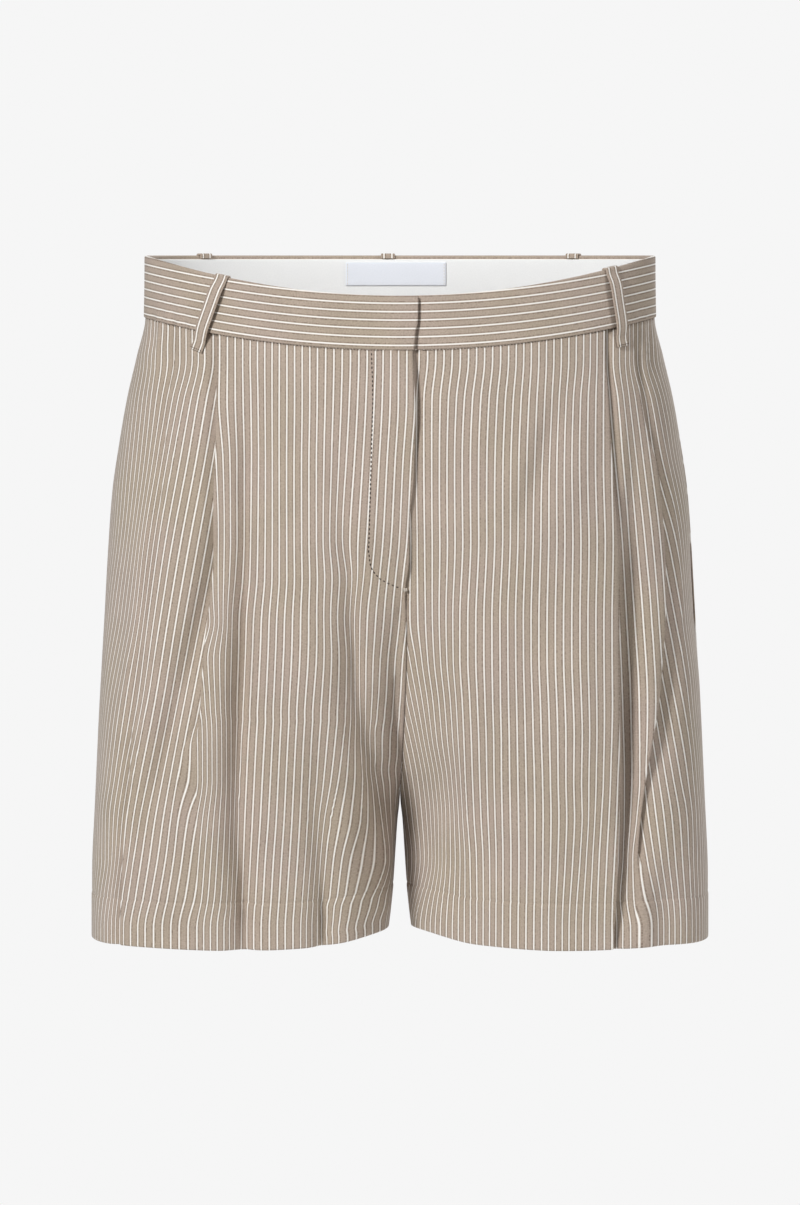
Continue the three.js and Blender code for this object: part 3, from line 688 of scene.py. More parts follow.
BACK_STEPS = 84
# Distance from the middle of the back's stripe that hangs straight down.
STRAIGHT_STRIPE = 112.0


def back_row(z, side):
    """Arc lengths of level rows of a back."""
    t = np.linspace(0, 1, BACK_STEPS + 1)[None, :]
    return section_length(z, BACK, side) * t, np.zeros(z.shape)


def panel_heights():
    """Heights of a panel's rows at its side seam, closer at the end of the fly and in the hem."""
    return np.concatenate(
        [
            np.linspace(SEAM_Z - SEAM_GAP, FLY_END_Z, 50, endpoint=False),
            np.linspace(FLY_END_Z, JOIN_Z, 8, endpoint=False),
            np.linspace(JOIN_Z, HEM_Z + HEM_DEPTH + 2, 62, endpoint=False),
            HEM_Z + HEM_DEPTH + np.array([2, 1.2, 0.6, 0, -0.8, -2]),
            np.linspace(HEM_Z + HEM_DEPTH - 5, HEM_Z + 1.2, 8),
            HEM_Z + np.array([0.6, 0.2, 0]),
        ]
    )


def row_height(row_z, face, x):
    """Height of a row at one place: the top follows the waist seam and the hem rises at the inner leg."""
    top = (seam_z(x, face) - SEAM_Z) * (1 - ease((SEAM_Z - row_z) / DIP_FADE))
    inner = 1 - ease((np.abs(x) - RISE_FROM) / RISE_OVER)
    sag = HEM_SAG * np.exp(-(((np.abs(x) - SAG_PLACE) / SAG_WIDTH) ** 2)) if face == FRONT else 0
    return row_z + top + (INSEAM_HEM_RISE * inner - sag) * ease((CROTCH_Z - row_z) / (CROTCH_Z - HEM_Z))


def smooth_crotch(grid):
    """Evens out neighbouring rows at the crotch, where the level sections change fast.

    Each step moves a point by half of near * (the line between the points above and below - the point),
    near = exp(-((z - CROTCH_Z) / SMOOTH_REACH)^2).
    """
    z = grid[..., 2:]
    share = (z[:-2, 1:-1] - z[1:-1, 1:-1]) / (z[:-2, 1:-1] - z[2:, 1:-1])
    near = 0.5 * np.exp(-(((z[1:-1, 1:-1] - CROTCH_Z) / SMOOTH_REACH) ** 2))
    for _ in range(SMOOTH_STEPS):
        line = mix(grid[:-2, 1:-1, :2], grid[2:, 1:-1, :2], share)
        grid[1:-1, 1:-1, :2] = mix(grid[1:-1, 1:-1, :2], line, near)


def pocket_gape(z, face):
    """How far a pocket's front edge stands from the side seam: half a wave along the slit."""
    t = np.clip((z - POCKET_END_Z) / (POCKET_TOP_Z - POCKET_END_Z), 0, 1)
    return POCKET_GAP * np.sin(math.pi * t) if face == FRONT else 0 * z


def unit(v):
    return v / np.maximum(np.linalg.norm(v, axis=-1, keepdims=True), 1e-12)


def grid_normals(grid):
    """Unit normals of a grid from its neighbours, level along its first and last rows."""
    across = np.gradient(grid, axis=1)
    down = np.gradient(grid, axis=0)
    normal = np.cross(across, down)
    normal[0, :, 2] = 0
    normal[-1, :, 2] = 0
    return unit(normal)


def mesh_object(name, vertices, faces, uvs=None):
    """A mesh object at the origin, from points in metres, lists of corners and a UV for each point."""
    mesh = bpy.data.meshes.new(name)
    mesh.from_pydata(vertices.tolist(), [], faces)
    if uvs is not None:
        layer = mesh.uv_layers.new(name="cloth")
        corners = np.zeros(len(mesh.loops), np.int32)
        mesh.loops.foreach_get("vertex_index", corners)
        layer.data.foreach_set("uv", uvs[corners].astype(np.float32).ravel())
    mesh.polygons.foreach_set("use_smooth", np.full(len(mesh.polygons), True))
    mesh.update()
    made = bpy.data.objects.new(name, mesh)
    bpy.context.scene.collection.objects.link(made)
    return made


def closed_faces(rows, columns):
    """Quads of an outer and an inner grid and of the rim between them."""
    o, n = np.arange(2 * rows * columns).reshape(2, rows, columns)

    def quads(a, b, c, d):
        return np.stack([a.ravel(), b.ravel(), c.ravel(), d.ravel()], axis=1)

    return np.concatenate(
        [
            quads(o[:-1, :-1], o[1:, :-1], o[1:, 1:], o[:-1, 1:]),
            quads(n[:-1, :-1], n[:-1, 1:], n[1:, 1:], n[1:, :-1]),
            quads(o[:-1, 0], n[:-1, 0], n[1:, 0], o[1:, 0]),
            quads(o[:-1, -1], o[1:, -1], n[1:, -1], n[:-1, -1]),
            quads(o[0, :-1], o[0, 1:], n[0, 1:], n[0, :-1]),
            quads(o[-1, :-1], n[-1, :-1], n[-1, 1:], o[-1, 1:]),
        ]
    )


def signed_volume(vertices, faces):
    """Six times the volume inside quads, above 0 where they face out."""
    a, b, c, d = (vertices[faces[:, k]] for k in range(4))
    return (np.cross(a, b) * c).sum() + (np.cross(a, c) * d).sum()


def wall(name, outer, inner, uv):
    """A closed wall between two grids of points in millimetres, its faces turned out."""
    rows, columns = outer.shape[:2]
    vertices = np.concatenate([outer.reshape(-1, 3), inner.reshape(-1, 3)]) * MM
    faces = closed_faces(rows, columns)
    if signed_volume(vertices, faces) < 0:
        faces = faces[:, ::-1]
    uvs = np.concatenate([uv.reshape(-1, 2)] * 2) * MM
    return mesh_object(name, vertices, faces.tolist(), uvs)


def stripe_number(grid, side, stretch):
    """The stripe that runs through each point, as the camera sees it, between those of a stretch's table."""
    (_, *numbers), *rows = STRIPES[side, stretch]
    seen = CAMERA_DISTANCE / (CAMERA_DISTANCE + grid[..., 1])
    x, z = side * grid[..., 0] * seen, grid[..., 2] * seen
    heights = [row[0] for row in rows]
    at = [smooth_through(heights, [row[k + 1] for row in rows], z) for k in range(len(numbers))]
    number = np.full(x.shape, float(numbers[0]))
    for k in range(len(numbers) - 1):
        share = (x - at[k]) / (at[k + 1] - at[k])
        low = -np.inf if k == 0 else 0
        high = np.inf if k == len(numbers) - 2 else 1
        number = np.where((share >= low) & (share <= high), mix(numbers[k], numbers[k + 1], share), number)
    return number


# Share of a stretch's width that the camera sees, from which its stripes follow the table and over which
# they pass to cloth length: on the side cloth and elsewhere.
SEEN_SIDE = (0.3, 0.35)
SEEN_FRONT = (0.1, 0.2)


def front_uv(grid, side, columns):
    """Stripe coordinate: the seen stripes where the cloth faces the camera, and cloth length elsewhere."""
    steps = np.linalg.norm(np.diff(grid[:, :, :2], axis=1), axis=-1)
    facing = np.abs(np.diff(grid[:, :, 0], axis=1)) / np.maximum(steps, 1e-6)
    side_cloth = (columns.part == 2)[None, 1:]
    seen = np.where(side_cloth, *(ease((facing - low) / over) for low, over in (SEEN_SIDE, SEEN_FRONT)))
    joined = np.zeros(grid.shape[:2])
    stretches = []
    for number in range(3):
        flat = np.flatnonzero((columns.part == number) & columns.flat)
        first = flat[0] if number == 0 else flat[0] - 1
        last = flat[-1] if number == 2 else flat[-1] + 1 + TURN_STEPS // 2
        stretches.append((first, last))
        own = -STRIPE_PITCH * stripe_number(grid[:, first : last + 1], side, number)
        change = mix(side * steps[:, first:last], np.diff(own, axis=1), seen[:, first:last])
        run = np.concatenate([np.zeros((len(grid), 1)), np.cumsum(change, axis=1)], axis=1)
        anchor = last - first if number == 0 else 0
        joined[:, first : last + 1] = own[:, [anchor]] + run - run[:, [anchor]]
    for (_, edge), (start, _) in zip(stretches, stretches[1:]):
        length = np.cumsum(steps[:, edge:start], axis=1)
        share = length / length[:, [-1]]
        between = joined[:, [edge]] + (joined[:, [start]] - joined[:, [edge]]) * share
        joined[:, edge + 1 : start] = between[:, :-1]
    return joined


def panel(name, face, side):
    """A front or back panel: rows at their heights, each a path along the section, thickened to a wall."""
    heights = panel_heights()
    columns = front_columns(side) if face == FRONT else None

    def rows_at(z):
        return front_row(z, side, columns) if face == FRONT else back_row(z, side)

    count = len(columns.t) if face == FRONT else BACK_STEPS + 1
    nominal = np.repeat(heights[:, None], count, axis=1)
    s, _ = rows_at(nominal)
    x = along(nominal, face, side, s)[0]
    z = row_height(nominal, face, x)
    s, h = rows_at(z)
    grid = place(z, face, side, s, h)
    grid[:, -1, 1] = face * (SEAM_GAP / 2 + pocket_gape(z[:, -1], face))
    low = z[:, 0] <= CROTCH_Z
    grid[low, 0, 1] = face * SEAM_GAP / 2
    if face == BACK:
        grid[~low, 0, 0] = side * SEAM_GAP / 2
    smooth_crotch(grid)
    normal = grid_normals(grid) * face * side
    above_edge, above_hem = nominal - HEM_Z, nominal - HEM_Z - HEM_DEPTH
    hem = ease((HEM_STEP_FROM - above_hem) / HEM_STEP_OVER)
    turned_up = hem
    if face == FRONT:
        all_flat = np.convolve(columns.flat, np.ones(HEM_MARGIN) / HEM_MARGIN, mode="same") > 0.99
        turned_up = hem * all_flat[None, :]
    rounded = np.sqrt(np.maximum(0, 1 - ease((EDGE_ROUND - above_edge) / EDGE_ROUND) ** 2))
    groove = GROOVE_DEPTH * np.exp(-((above_hem / GROOVE_WIDTH) ** 2))
    outward = (CLOTH / 2 + HEM_PROUD * hem) * rounded - groove
    inward = CLOTH / 2 + (HEM_CLOTH - CLOTH) * turned_up
    outer = grid + normal * outward[..., None]
    inner = grid - normal * inward[..., None]
    for layer in (outer, inner):
        keep_inside(layer, face, side)
    u = front_uv(grid, side, columns) if face == FRONT else back_uv(grid)
    return wall(name, outer, inner, np.stack([u, grid[..., 2]], axis=-1))


def back_uv(grid):
    """Stripe coordinate of a back: cloth length along each row from the stripe that hangs straight down."""
    steps = np.linalg.norm(np.diff(grid[:, :, :2], axis=1), axis=-1)
    u = np.concatenate([np.zeros((len(grid), 1)), np.cumsum(steps, axis=1)], axis=1)
    straight = read_rows(np.abs(grid[..., 0]), u, np.full(len(grid), STRAIGHT_STRIPE))
    return u - straight[:, None]


def keep_inside(layer, face, side):
    """Keeps a panel's points on their own side of the side, centre and inner leg seams."""
    gap = SEAM_GAP / 2
    z = layer[..., 2]
    layer[:, -1, 1] = face * np.maximum(gap, face * layer[:, -1, 1])
    low = z[:, 0] <= CROTCH_Z
    layer[low, 0, 1] = face * np.maximum(gap, face * layer[low, 0, 1])
    if face == FRONT:
        edge = CENTRE_FRONT.edge(z)
        nearest = np.where(z <= CROTCH_Z, gap, edge + SEAM_GAP if side == LEFT else -edge)
        held = z <= JOIN_Z
    else:
        nearest = np.full(z.shape, gap)
        held = np.ones(z.shape, bool)
    layer[..., 0] = np.where(held, side * np.maximum(nearest, side * layer[..., 0]), layer[..., 0])


THIN_EDGE = 0.12
BEND_POINTS = 5


def edge_fullness(first, second, radius):
    """How thick a wall is next to its edges, as a share: a quarter circle's height, never quite nothing."""
    nearest = np.clip(np.minimum(first, second) / radius, 0, 1)
    return np.maximum(THIN_EDGE, np.sqrt(1 - (1 - nearest) ** 2))


def from_ends(share, length):
    """Distance from the nearer end of a length, at shares along it."""
    return length * np.minimum(share, 1 - share)


def spread(rows, length, radius):
    """Shares from 0 to 1 along a length, even in the middle and closer within a radius of both ends."""
    bend = radius * (1 - np.cos(np.linspace(0, math.pi / 2, BEND_POINTS)))
    middle = np.linspace(radius, length - radius, rows + 1)[1:-1]
    return np.concatenate([bend, middle, length - bend[::-1]]) / length


def everywhere(value):
    """A function that gives one value at all the places in its first argument."""
    return lambda at, *_: np.full(np.shape(at), float(value))


def to_seam(face, side, before=0):
    """Arc length of the side seam at each height, or of a line a little before it."""
    return lambda z, down: section_length(z, face, side) - before


def patch(name, face, side, start, end, top, bottom, depth, thickness, counts, level_stripes=False):
    """A strip on the body from one arc length to another, between two height functions, with round edges.

    Counts are the steps across and down. Each point lies half the thickness, less near an edge, off the
    middle depth, along the plain section's normal.
    """
    length = np.abs(end(np.array([[SEAM_Z]]), 0) - start(np.array([[SEAM_Z]]), 0)).max()
    height = abs(top(np.zeros(1)) - bottom(np.zeros(1)))[0]
    across = spread(counts[0], length, thickness / 2)[None, :]
    down = spread(counts[1], height, thickness / 2)[:, None]
    level = np.full((len(down), across.shape[1]), float(SEAM_Z))
    near = mix(start(level, down), end(level, down), across)
    x = along(level, face, side, near)[0]
    z = mix(top(x), bottom(x), down)
    s = mix(start(z, down), end(z, down), across)
    full = edge_fullness(from_ends(down, height), from_ends(across, length), thickness / 2)
    middle = depth(s, z)
    outer = place(z, face, side, s, middle - thickness / 2 * full)
    inner = place(z, face, side, s, middle + thickness / 2 * full)
    u, v = side * s, z - bottom(x)
    return wall(name, outer, inner, np.stack([v, u] if level_stripes else [u, v], axis=-1))


PANEL_OUT = CLOTH / 2
BAND_DEPTH = PANEL_OUT - BAND_CLOTH / 2
FACING_DEPTH = PANEL_OUT + SEAM_GAP + FACING_CLOTH / 2
LABEL_DEPTH = FACING_DEPTH + FACING_CLOTH / 2 + SEAM_GAP + LABEL_CLOTH / 2
ZIP_DEPTH = PANEL_OUT + 2 * CLEAR + ZIP_CLOTH / 2
SHIELD_DEPTH = ZIP_DEPTH + ZIP_CLOTH / 2 + SEAM_GAP + CLOTH / 2
STRIP_END_Z = FLY_END_Z + 2
LAP_CORNER = 3.5
LAP_HEIGHT = 40
LAP_FADE = 15
BAG_EDGE = 3


def band_top(x):
    return top_z(x, FRONT)


def band_end(x):
    return seam_z(x, FRONT)


def under_band(x):
    return seam_z(x, FRONT) - 2 * SEAM_GAP


def front_band(side):
    """One front half of the waistband; the wearer's right half laps over the left one, its corner round."""
    laps = side == RIGHT
    lift = BAND_CLOTH + CLEAR if laps else 0

    def lap_edge(z, down):
        corner = np.clip(1 - down * LAP_HEIGHT / LAP_CORNER, 0, 1)
        return -mix(LAP_TOP, LAP_SEAM, down) + LAP_CORNER * (1 - np.sqrt(1 - corner**2)) + 0 * z

    start = lap_edge if laps else everywhere(SEAM_GAP)
    name = "cloth_waistband_front_" + HANDS[side]
    return patch(
        name, FRONT, side, start, to_seam(FRONT, side), band_top, band_end,
        lambda s, z: BAND_DEPTH - lift * (1 - ease((s - 1) / LAP_FADE)), BAND_CLOTH, (110, 18), True,
    )


def back_strip(name, top, bottom, depth, thickness, level_stripes=False):
    """A level ring's back, from side seam to side seam."""
    return patch(
        name, BACK, LEFT, lambda z, down: -section_length(z, BACK, RIGHT), to_seam(BACK, LEFT),
        everywhere(top), everywhere(bottom), everywhere(depth), thickness, (220, 16), level_stripes,
    )


def front_facing(side):
    """The pale facing inside one front half of the waistband."""
    return patch(
        "cloth_facing_front_" + HANDS[side], FRONT, side, everywhere(SEAM_GAP), to_seam(FRONT, side),
        lambda x: band_top(x) - FACING_DROP, lambda x: band_end(x) + SEAM_GAP,
        everywhere(FACING_DEPTH), FACING_CLOTH, (90, 12),
    )


def label_piece():
    """The bare woven label on the back facing."""
    return patch(
        "cloth_label", BACK, LEFT, everywhere(LABEL_FROM), everywhere(LABEL_TO),
        everywhere(LABEL_TOP), everywhere(LABEL_END), everywhere(LABEL_DEPTH), LABEL_CLOTH, (24, 8),
    )


def fly_strip(name, start, end, depth, thickness):
    """A strip behind the fly: the zip's tape, or the shield behind it."""
    return patch(
        name, FRONT, LEFT, everywhere(start), everywhere(end),
        under_band, everywhere(STRIP_END_Z), everywhere(depth), thickness, (14, 60),
    )


def pocket_bag(side):
    """A pocket bag: a flat double layer inside the front, held at the side seam and the waist seam."""
    bag = 2 * CLOTH
    at_seam = PANEL_OUT + SEAM_GAP + bag / 2
    half_down = BAG_END_Z / 2
    reach = section_length(np.array([[half_down]]), FRONT, side)[0, 0]

    def depth(s, z):
        hang = mix(BAG_TOP_DEPTH, BAG_DEPTH, ease((SEAM_Z - z) / BAG_TOP_FADE))
        return mix(at_seam, hang, ease((section_length(z, FRONT, side) - s) / BAG_SIDE_FADE))

    def bottom(x):
        s = arc_at(np.full(np.shape(x), half_down), FRONT, side, np.abs(x))
        across = np.clip((s - reach + BAG_WIDTH) / BAG_WIDTH, 0, 1)
        return BAG_END_Z + BAG_CORNER * np.abs(2 * across - 1) ** 3

    return patch(
        "cloth_pocket_bag_" + HANDS[side], FRONT, side,
        to_seam(FRONT, side, BAG_WIDTH), to_seam(FRONT, side, BAG_EDGE),
        under_band, bottom, depth, bag, (30, 40),
    )


def smooth_path(points, count):
    """A path through points, as a Catmull-Rom curve sampled at even shares of its knots."""
    points = np.asarray(points, float)
    padded = np.concatenate([[2 * points[0] - points[1]], points, [2 * points[-1] - points[-2]]])
    at = np.linspace(0, len(points) - 1, count)
    i = np.minimum(at.astype(int), len(points) - 2)
    t = (at - i)[:, None]
    a, b, c, d = (padded[i + k] for k in range(4))
    return 0.5 * (2 * b + (c - a) * t + (2 * a - 5 * b + 4 * c - d) * t**2 + (3 * b - a - 3 * c + d) * t**3)


def run_along(path):
    """Distance along a line of points, at each point."""
    return np.concatenate([[0], np.cumsum(np.linalg.norm(np.diff(path, axis=0), axis=1))])


# Belt loops: the face and side that each lies on, and the place of its top and end from the middle.
BELT_LOOPS = {
    "front_left": (FRONT, LEFT, 144.4, 152.8),
    "front_right": (FRONT, RIGHT, 121.5, 139.3),
    "back_left": (BACK, LEFT, 123, 123),
    "back_centre": (BACK, LEFT, -8.6, -8.6),
    "back_right": (BACK, RIGHT, 138.4, 138.4),
}
LOOP_STEPS = 78
LOOP_COLUMNS = 8
LOOP_TURN = 10


def loop_frame(face, top_x, end_x):
    """Heights of a belt loop's top, of the seam under it and of its end, and how far it leans."""
    top = float(top_z(np.array(float(top_x)), face))
    seam = float(seam_z(np.array(float(end_x)), face))
    end = seam - LOOP_TAIL
    return top, seam, end, math.atan2(end_x - top_x, top - end)


def belt_loop(name, face, side, top_x, end_x):
    """A belt loop: a strip tucked over the band's top edge and sewn down below its seam.

    Its path, in depth and height, is a smooth curve through given points. The strip is laid off the path
    by half its width across and half its thickness out.
    """
    half = LOOP_CLOTH / 2
    band_out = BAND_DEPTH - BAND_CLOTH / 2 - CLEAR - half
    panel_rest = -PANEL_OUT - 2 * CLEAR - half
    tucked = PANEL_OUT + CLEAR + half
    over = 0.1 + half
    top, seam, end, tilt = loop_frame(face, top_x, end_x)
    out = band_out - LOOP_BULGE
    path = smooth_path(
        [
            [tucked, top - FACING_DROP + 3 * SEAM_GAP],
            [tucked, top + 0.4],
            [tucked - 0.9, top + over],
            [band_out + 1.0, top + over],
            [band_out, top + 0.2],
            [band_out - 0.3, top - 4],
            [out, top - 11],
            [out, mix(top, seam, 0.6)],
            [out + 0.2, seam + 3],
            [mix(out, panel_rest, 0.45), seam - 3],
            [panel_rest, seam - 8],
            [panel_rest, end],
        ],
        LOOP_STEPS,
    )
    way = unit(np.gradient(path, axis=0))
    dh, dz = way[:, :1], way[:, 1:]
    edge = LOOP_WIDTH * (spread(LOOP_COLUMNS, LOOP_WIDTH, half)[None, :] - 0.5)
    full = edge_fullness(LOOP_WIDTH / 2 - np.abs(edge), LOOP_WIDTH, half)
    layers = []
    for sign in (1, -1):
        level = path[:, 1:] - sign * half * dh * full
        t = np.clip((top - path[:, 1:]) / (top - end), 0, 1) + 0 * level
        s = arc_at(level, face, side, mix(top_x, end_x, t))
        rim_x = along(np.full(level.shape, top), face, side, s + edge)[0]
        along_rim = top_z(rim_x, face) - top
        turned = np.clip((top - 2 - path[:, 1:]) / LOOP_TURN, 0, 1)
        rise = mix(along_rim, edge * math.sin(tilt), turned)
        h = path[:, :1] + sign * half * dz * full
        layers.append(place(level + rise, face, side, s + edge * math.cos(tilt), h))
    run = run_along(path)[:, None]
    uv = np.stack([side * edge + 0 * run, run + 0 * edge], axis=-1)
    return wall(name, layers[0], layers[1], uv)


# Stitching
FRONT_SURFACE = -CLOTH / 2
THREAD = 0.5
RING = 6
STITCH_POINTS = 3 * RING + 2
SEAM_STITCH_DEPTH = -1.05
SEAM_STITCH_PITCH = 2.3
FLY_STITCH_PITCH = 3.05
TACK_Z = (-227.4, -229.2)
TACK_ARC = -4.2

# The curved stitching of the fly: x to the wearer's right, and z.
FLY_STITCHES = [
    [19.5, -66], [18.5, -98.9], [20.9, -181.1], [21.6, -201.6], [20.5, -210.5], [19.2, -214],
    [17.5, -216.7], [13.7, -220.8], [8.9, -223.6], [2.1, -227], [-3, -228.4],
]


def stitch_row(centres, outward, length, width=THREAD, height=THREAD):
    """Stitches as flattened ellipsoids: one round each centre, long along the row and low along outward.

    Each has a point at both ends and three rings of corners between them.
    """
    way = unit(np.gradient(centres, axis=0))
    across = unit(np.cross(outward, way))
    out = unit(np.cross(way, across))
    turn = np.linspace(0, 2 * math.pi, RING + 1)[:-1]
    belt = np.array([-0.8, 0, 0.8])
    ring = np.sqrt(1 - belt**2)
    a = np.concatenate([[-1], np.repeat(belt, RING), [1]]) * length / 2
    b = np.concatenate([[0], np.outer(ring, np.cos(turn)).ravel(), [0]]) * width / 2
    c = np.concatenate([[0], np.outer(ring, np.sin(turn)).ravel(), [0]]) * height / 2
    points = centres[:, None] + np.stack([a, b, c], axis=1) @ np.stack([way, across, out], axis=1)
    k = np.arange(RING)
    n = (k + 1) % RING
    last = 1 + 2 * RING
    caps = [
        np.stack([0 * k, 1 + n, 1 + k, 1 + k], axis=1),
        np.stack([0 * k + STITCH_POINTS - 1, last + k, last + n, last + n], axis=1),
    ]
    bands = [np.stack([o + k, o + n, o + RING + n, o + RING + k], axis=1) for o in (1, 1 + RING)]
    first_point = STITCH_POINTS * np.arange(len(centres))[:, None, None]
    faces = np.concatenate([*caps, *bands])[None] + first_point
    return points.reshape(-1, 3), faces.reshape(-1, 4)


def stitch_object(name, rows):
    """All rows of stitches of one thread as one mesh; a cap's quads become triangles."""
    starts = np.cumsum([0] + [len(points) for points, _ in rows])
    faces = np.concatenate([quads + start for (_, quads), start in zip(rows, starts)])
    cap = faces[:, 2] == faces[:, 3]
    points = np.concatenate([points for points, _ in rows]) * MM
    return mesh_object(name, points, faces[cap][:, :3].tolist() + faces[~cap].tolist())


def on_panel(z, face, side, s, h):
    """Points at a depth under a panel's plain section, and the way out of the cloth there."""
    at = place(z, face, side, s, h)
    return at, at - place(z, face, side, s, h + 1)


def evenly(path, pitch):
    """Places along a line of points at an even pitch."""
    path = np.asarray(path, float)
    run = run_along(path)
    at = np.arange(pitch / 2, run[-1], pitch)
    return np.stack([np.interp(at, run, path[:, k]) for k in range(path.shape[1])], axis=1)


def fly_stitching():
    """A row on the right front: the curve that holds the zip."""
    x, z = evenly(FLY_STITCHES, FLY_STITCH_PITCH).T
    s = arc_at(z, FRONT, RIGHT, x)
    lift = FLY_LIFT * ease((z - JOIN_Z) / LIFT_FADE) * (1 - ease((s - LIFT_FLAT) / LIFT_FADE))
    return [stitch_row(*on_panel(z, FRONT, RIGHT, s, FRONT_SURFACE - lift - 0.05), 2.0, 0.9)]


def seam_stitching():
    """Rows in the seam under the waistband, all round."""
    rows = []
    for face, side, start in ((FRONT, LEFT, 12), (FRONT, RIGHT, -8), (BACK, LEFT, 1.2), (BACK, RIGHT, 1.2)):
        x = np.arange(start, HALF_WAIST - 0.9, SEAM_STITCH_PITCH)
        z = seam_z(x, face) - 0.5
        rows.append(stitch_row(*on_panel(z, face, side, arc_at(z, face, side, x), SEAM_STITCH_DEPTH), 1.4))
    return rows


def loop_stitching():
    """A short row across the sewn end of each belt loop."""
    rows = []
    for face, side, top_x, end_x in BELT_LOOPS.values():
        _, _, end, tilt = loop_frame(face, top_x, end_x)
        across = np.linspace(-LOOP_WIDTH / 2 + 0.9, LOOP_WIDTH / 2 - 0.9, 6)
        level = np.full(6, end + 1.4)
        s = arc_at(level, face, side, np.full(6, float(end_x))) + across * math.cos(tilt)
        h = -PANEL_OUT - 2 * CLEAR - LOOP_CLOTH - 0.02
        rows.append(stitch_row(*on_panel(level + across * math.sin(tilt), face, side, s, h), 1.25, 0.6))
    return rows


def label_stitching():
    """Rows across both ends of the label."""
    rows = []
    for s in (LABEL_FROM + 1.2, LABEL_TO - 1.2):
        z = np.linspace(LABEL_TOP - 1.5, LABEL_END + 1.5, 7)
        at, out = on_panel(z, BACK, LEFT, np.full(7, s), LABEL_DEPTH + LABEL_CLOTH / 2 + 0.05)
        rows.append(stitch_row(at, -out, 1.5, 0.45))
    return rows


def tack_stitching():
    """The bar tack at the foot of the fly: short level rows close together."""
    z = np.linspace(*TACK_Z, 5)
    at, out = on_panel(z, FRONT, RIGHT, np.full(5, TACK_ARC), FRONT_SURFACE - FLY_LIFT - 0.15)
    rows = np.stack([at + [1.3 * k, 0, 0] for k in (-1, 0, 1)], axis=1)
    return [stitch_row(row, np.repeat(out[:1], 3, axis=0), 1.4) for row in rows]


# Materials
DOT_WIDTH = 0.7
DOT_LENGTH = 1.2
YARN_SCALE = 950.0
PATCH_SCALE = 38.0
TINT_SCALE = 15.0
TWIST_SCALE = 1500.0
SUITING_MOTTLE = 0.42
CLOTH_LOOK = {"Sheen Roughness": 0.6, "Specular IOR Level": 0.25}
OLIVE = (0.95, 0.97, 0.9, 1)
DARKER = (0.6, 0.6, 0.6, 1)

# How far the stripes of a piece are moved across it; those of the fronts and backs aren't.
STRIPE_OFFSET = {"band": 3.0, "back_band": 0.1, "loop": 2.87}


def srgb(r, g, b):
    """A display colour of 0 to 255 as linear light."""
    c = np.array([r, g, b]) / 255
    return (*np.where(c <= 0.04045, c / 12.92, ((c + 0.055) / 1.055) ** 2.4).tolist(), 1.0)


def add_node(tree, kind, inputs=None, **settings):
    """A node with its settings made and its inputs linked or set."""
    made = tree.nodes.new(kind)
    for name, value in settings.items():
        setattr(made, name, value)
    for key, value in (inputs or {}).items():
        if isinstance(value, bpy.types.NodeSocket):
            tree.links.new(value, made.inputs[key])
        else:
            made.inputs[key].default_value = value
    return made


def calculate(tree, operation, *values):
    return add_node(tree, "ShaderNodeMath", dict(enumerate(values)), operation=operation).outputs[0]


def blend_colours(tree, share, first, second, blend_type="MIX"):
    inputs = {0: share, 6: first, 7: second}
    return add_node(tree, "ShaderNodeMix", inputs, data_type="RGBA", blend_type=blend_type).outputs[2]


def multiply_colours(tree, first, second):
    return blend_colours(tree, 1.0, first, second, "MULTIPLY")


def grey(tree, value):
    return add_node(tree, "ShaderNodeCombineColor", {k: value for k in range(3)}).outputs[0]


def noise(tree, vector, scale, detail):
    inputs = {"Vector": vector, "Scale": scale, "Detail": detail}
    return add_node(tree, "ShaderNodeTexNoise", inputs).outputs[0]


def step_down(tree, value, start, end):
    """1 below a start and 0 above an end, smooth between them."""
    inputs = {"Value": value, "From Min": start, "From Max": end, "To Min": 1.0, "To Max": 0.0}
    return add_node(tree, "ShaderNodeMapRange", inputs, interpolation_type="SMOOTHSTEP").outputs[0]


def use_group(tree, group, inputs):
    return add_node(tree, "ShaderNodeGroup", inputs, node_tree=group)


def new_group(name, inputs, outputs):
    """A group with named inputs and outputs: its tree, its inputs inside, and a way to set its outputs."""
    tree = bpy.data.node_groups.new(name, "ShaderNodeTree")
    for socket_name, kind, default in [("Vector", "Vector", None), *inputs]:
        made = tree.interface.new_socket(socket_name, in_out="INPUT", socket_type="NodeSocket" + kind)
        if default is not None:
            made.default_value = default
    for socket_name, kind in outputs.items():
        tree.interface.new_socket(socket_name, in_out="OUTPUT", socket_type="NodeSocket" + kind)
    outside = tree.nodes.new("NodeGroupOutput")

    def give(**results):
        for socket_name, value in results.items():
            tree.links.new(value, outside.inputs[socket_name])
        return tree

    return tree, tree.nodes.new("NodeGroupInput").outputs, give


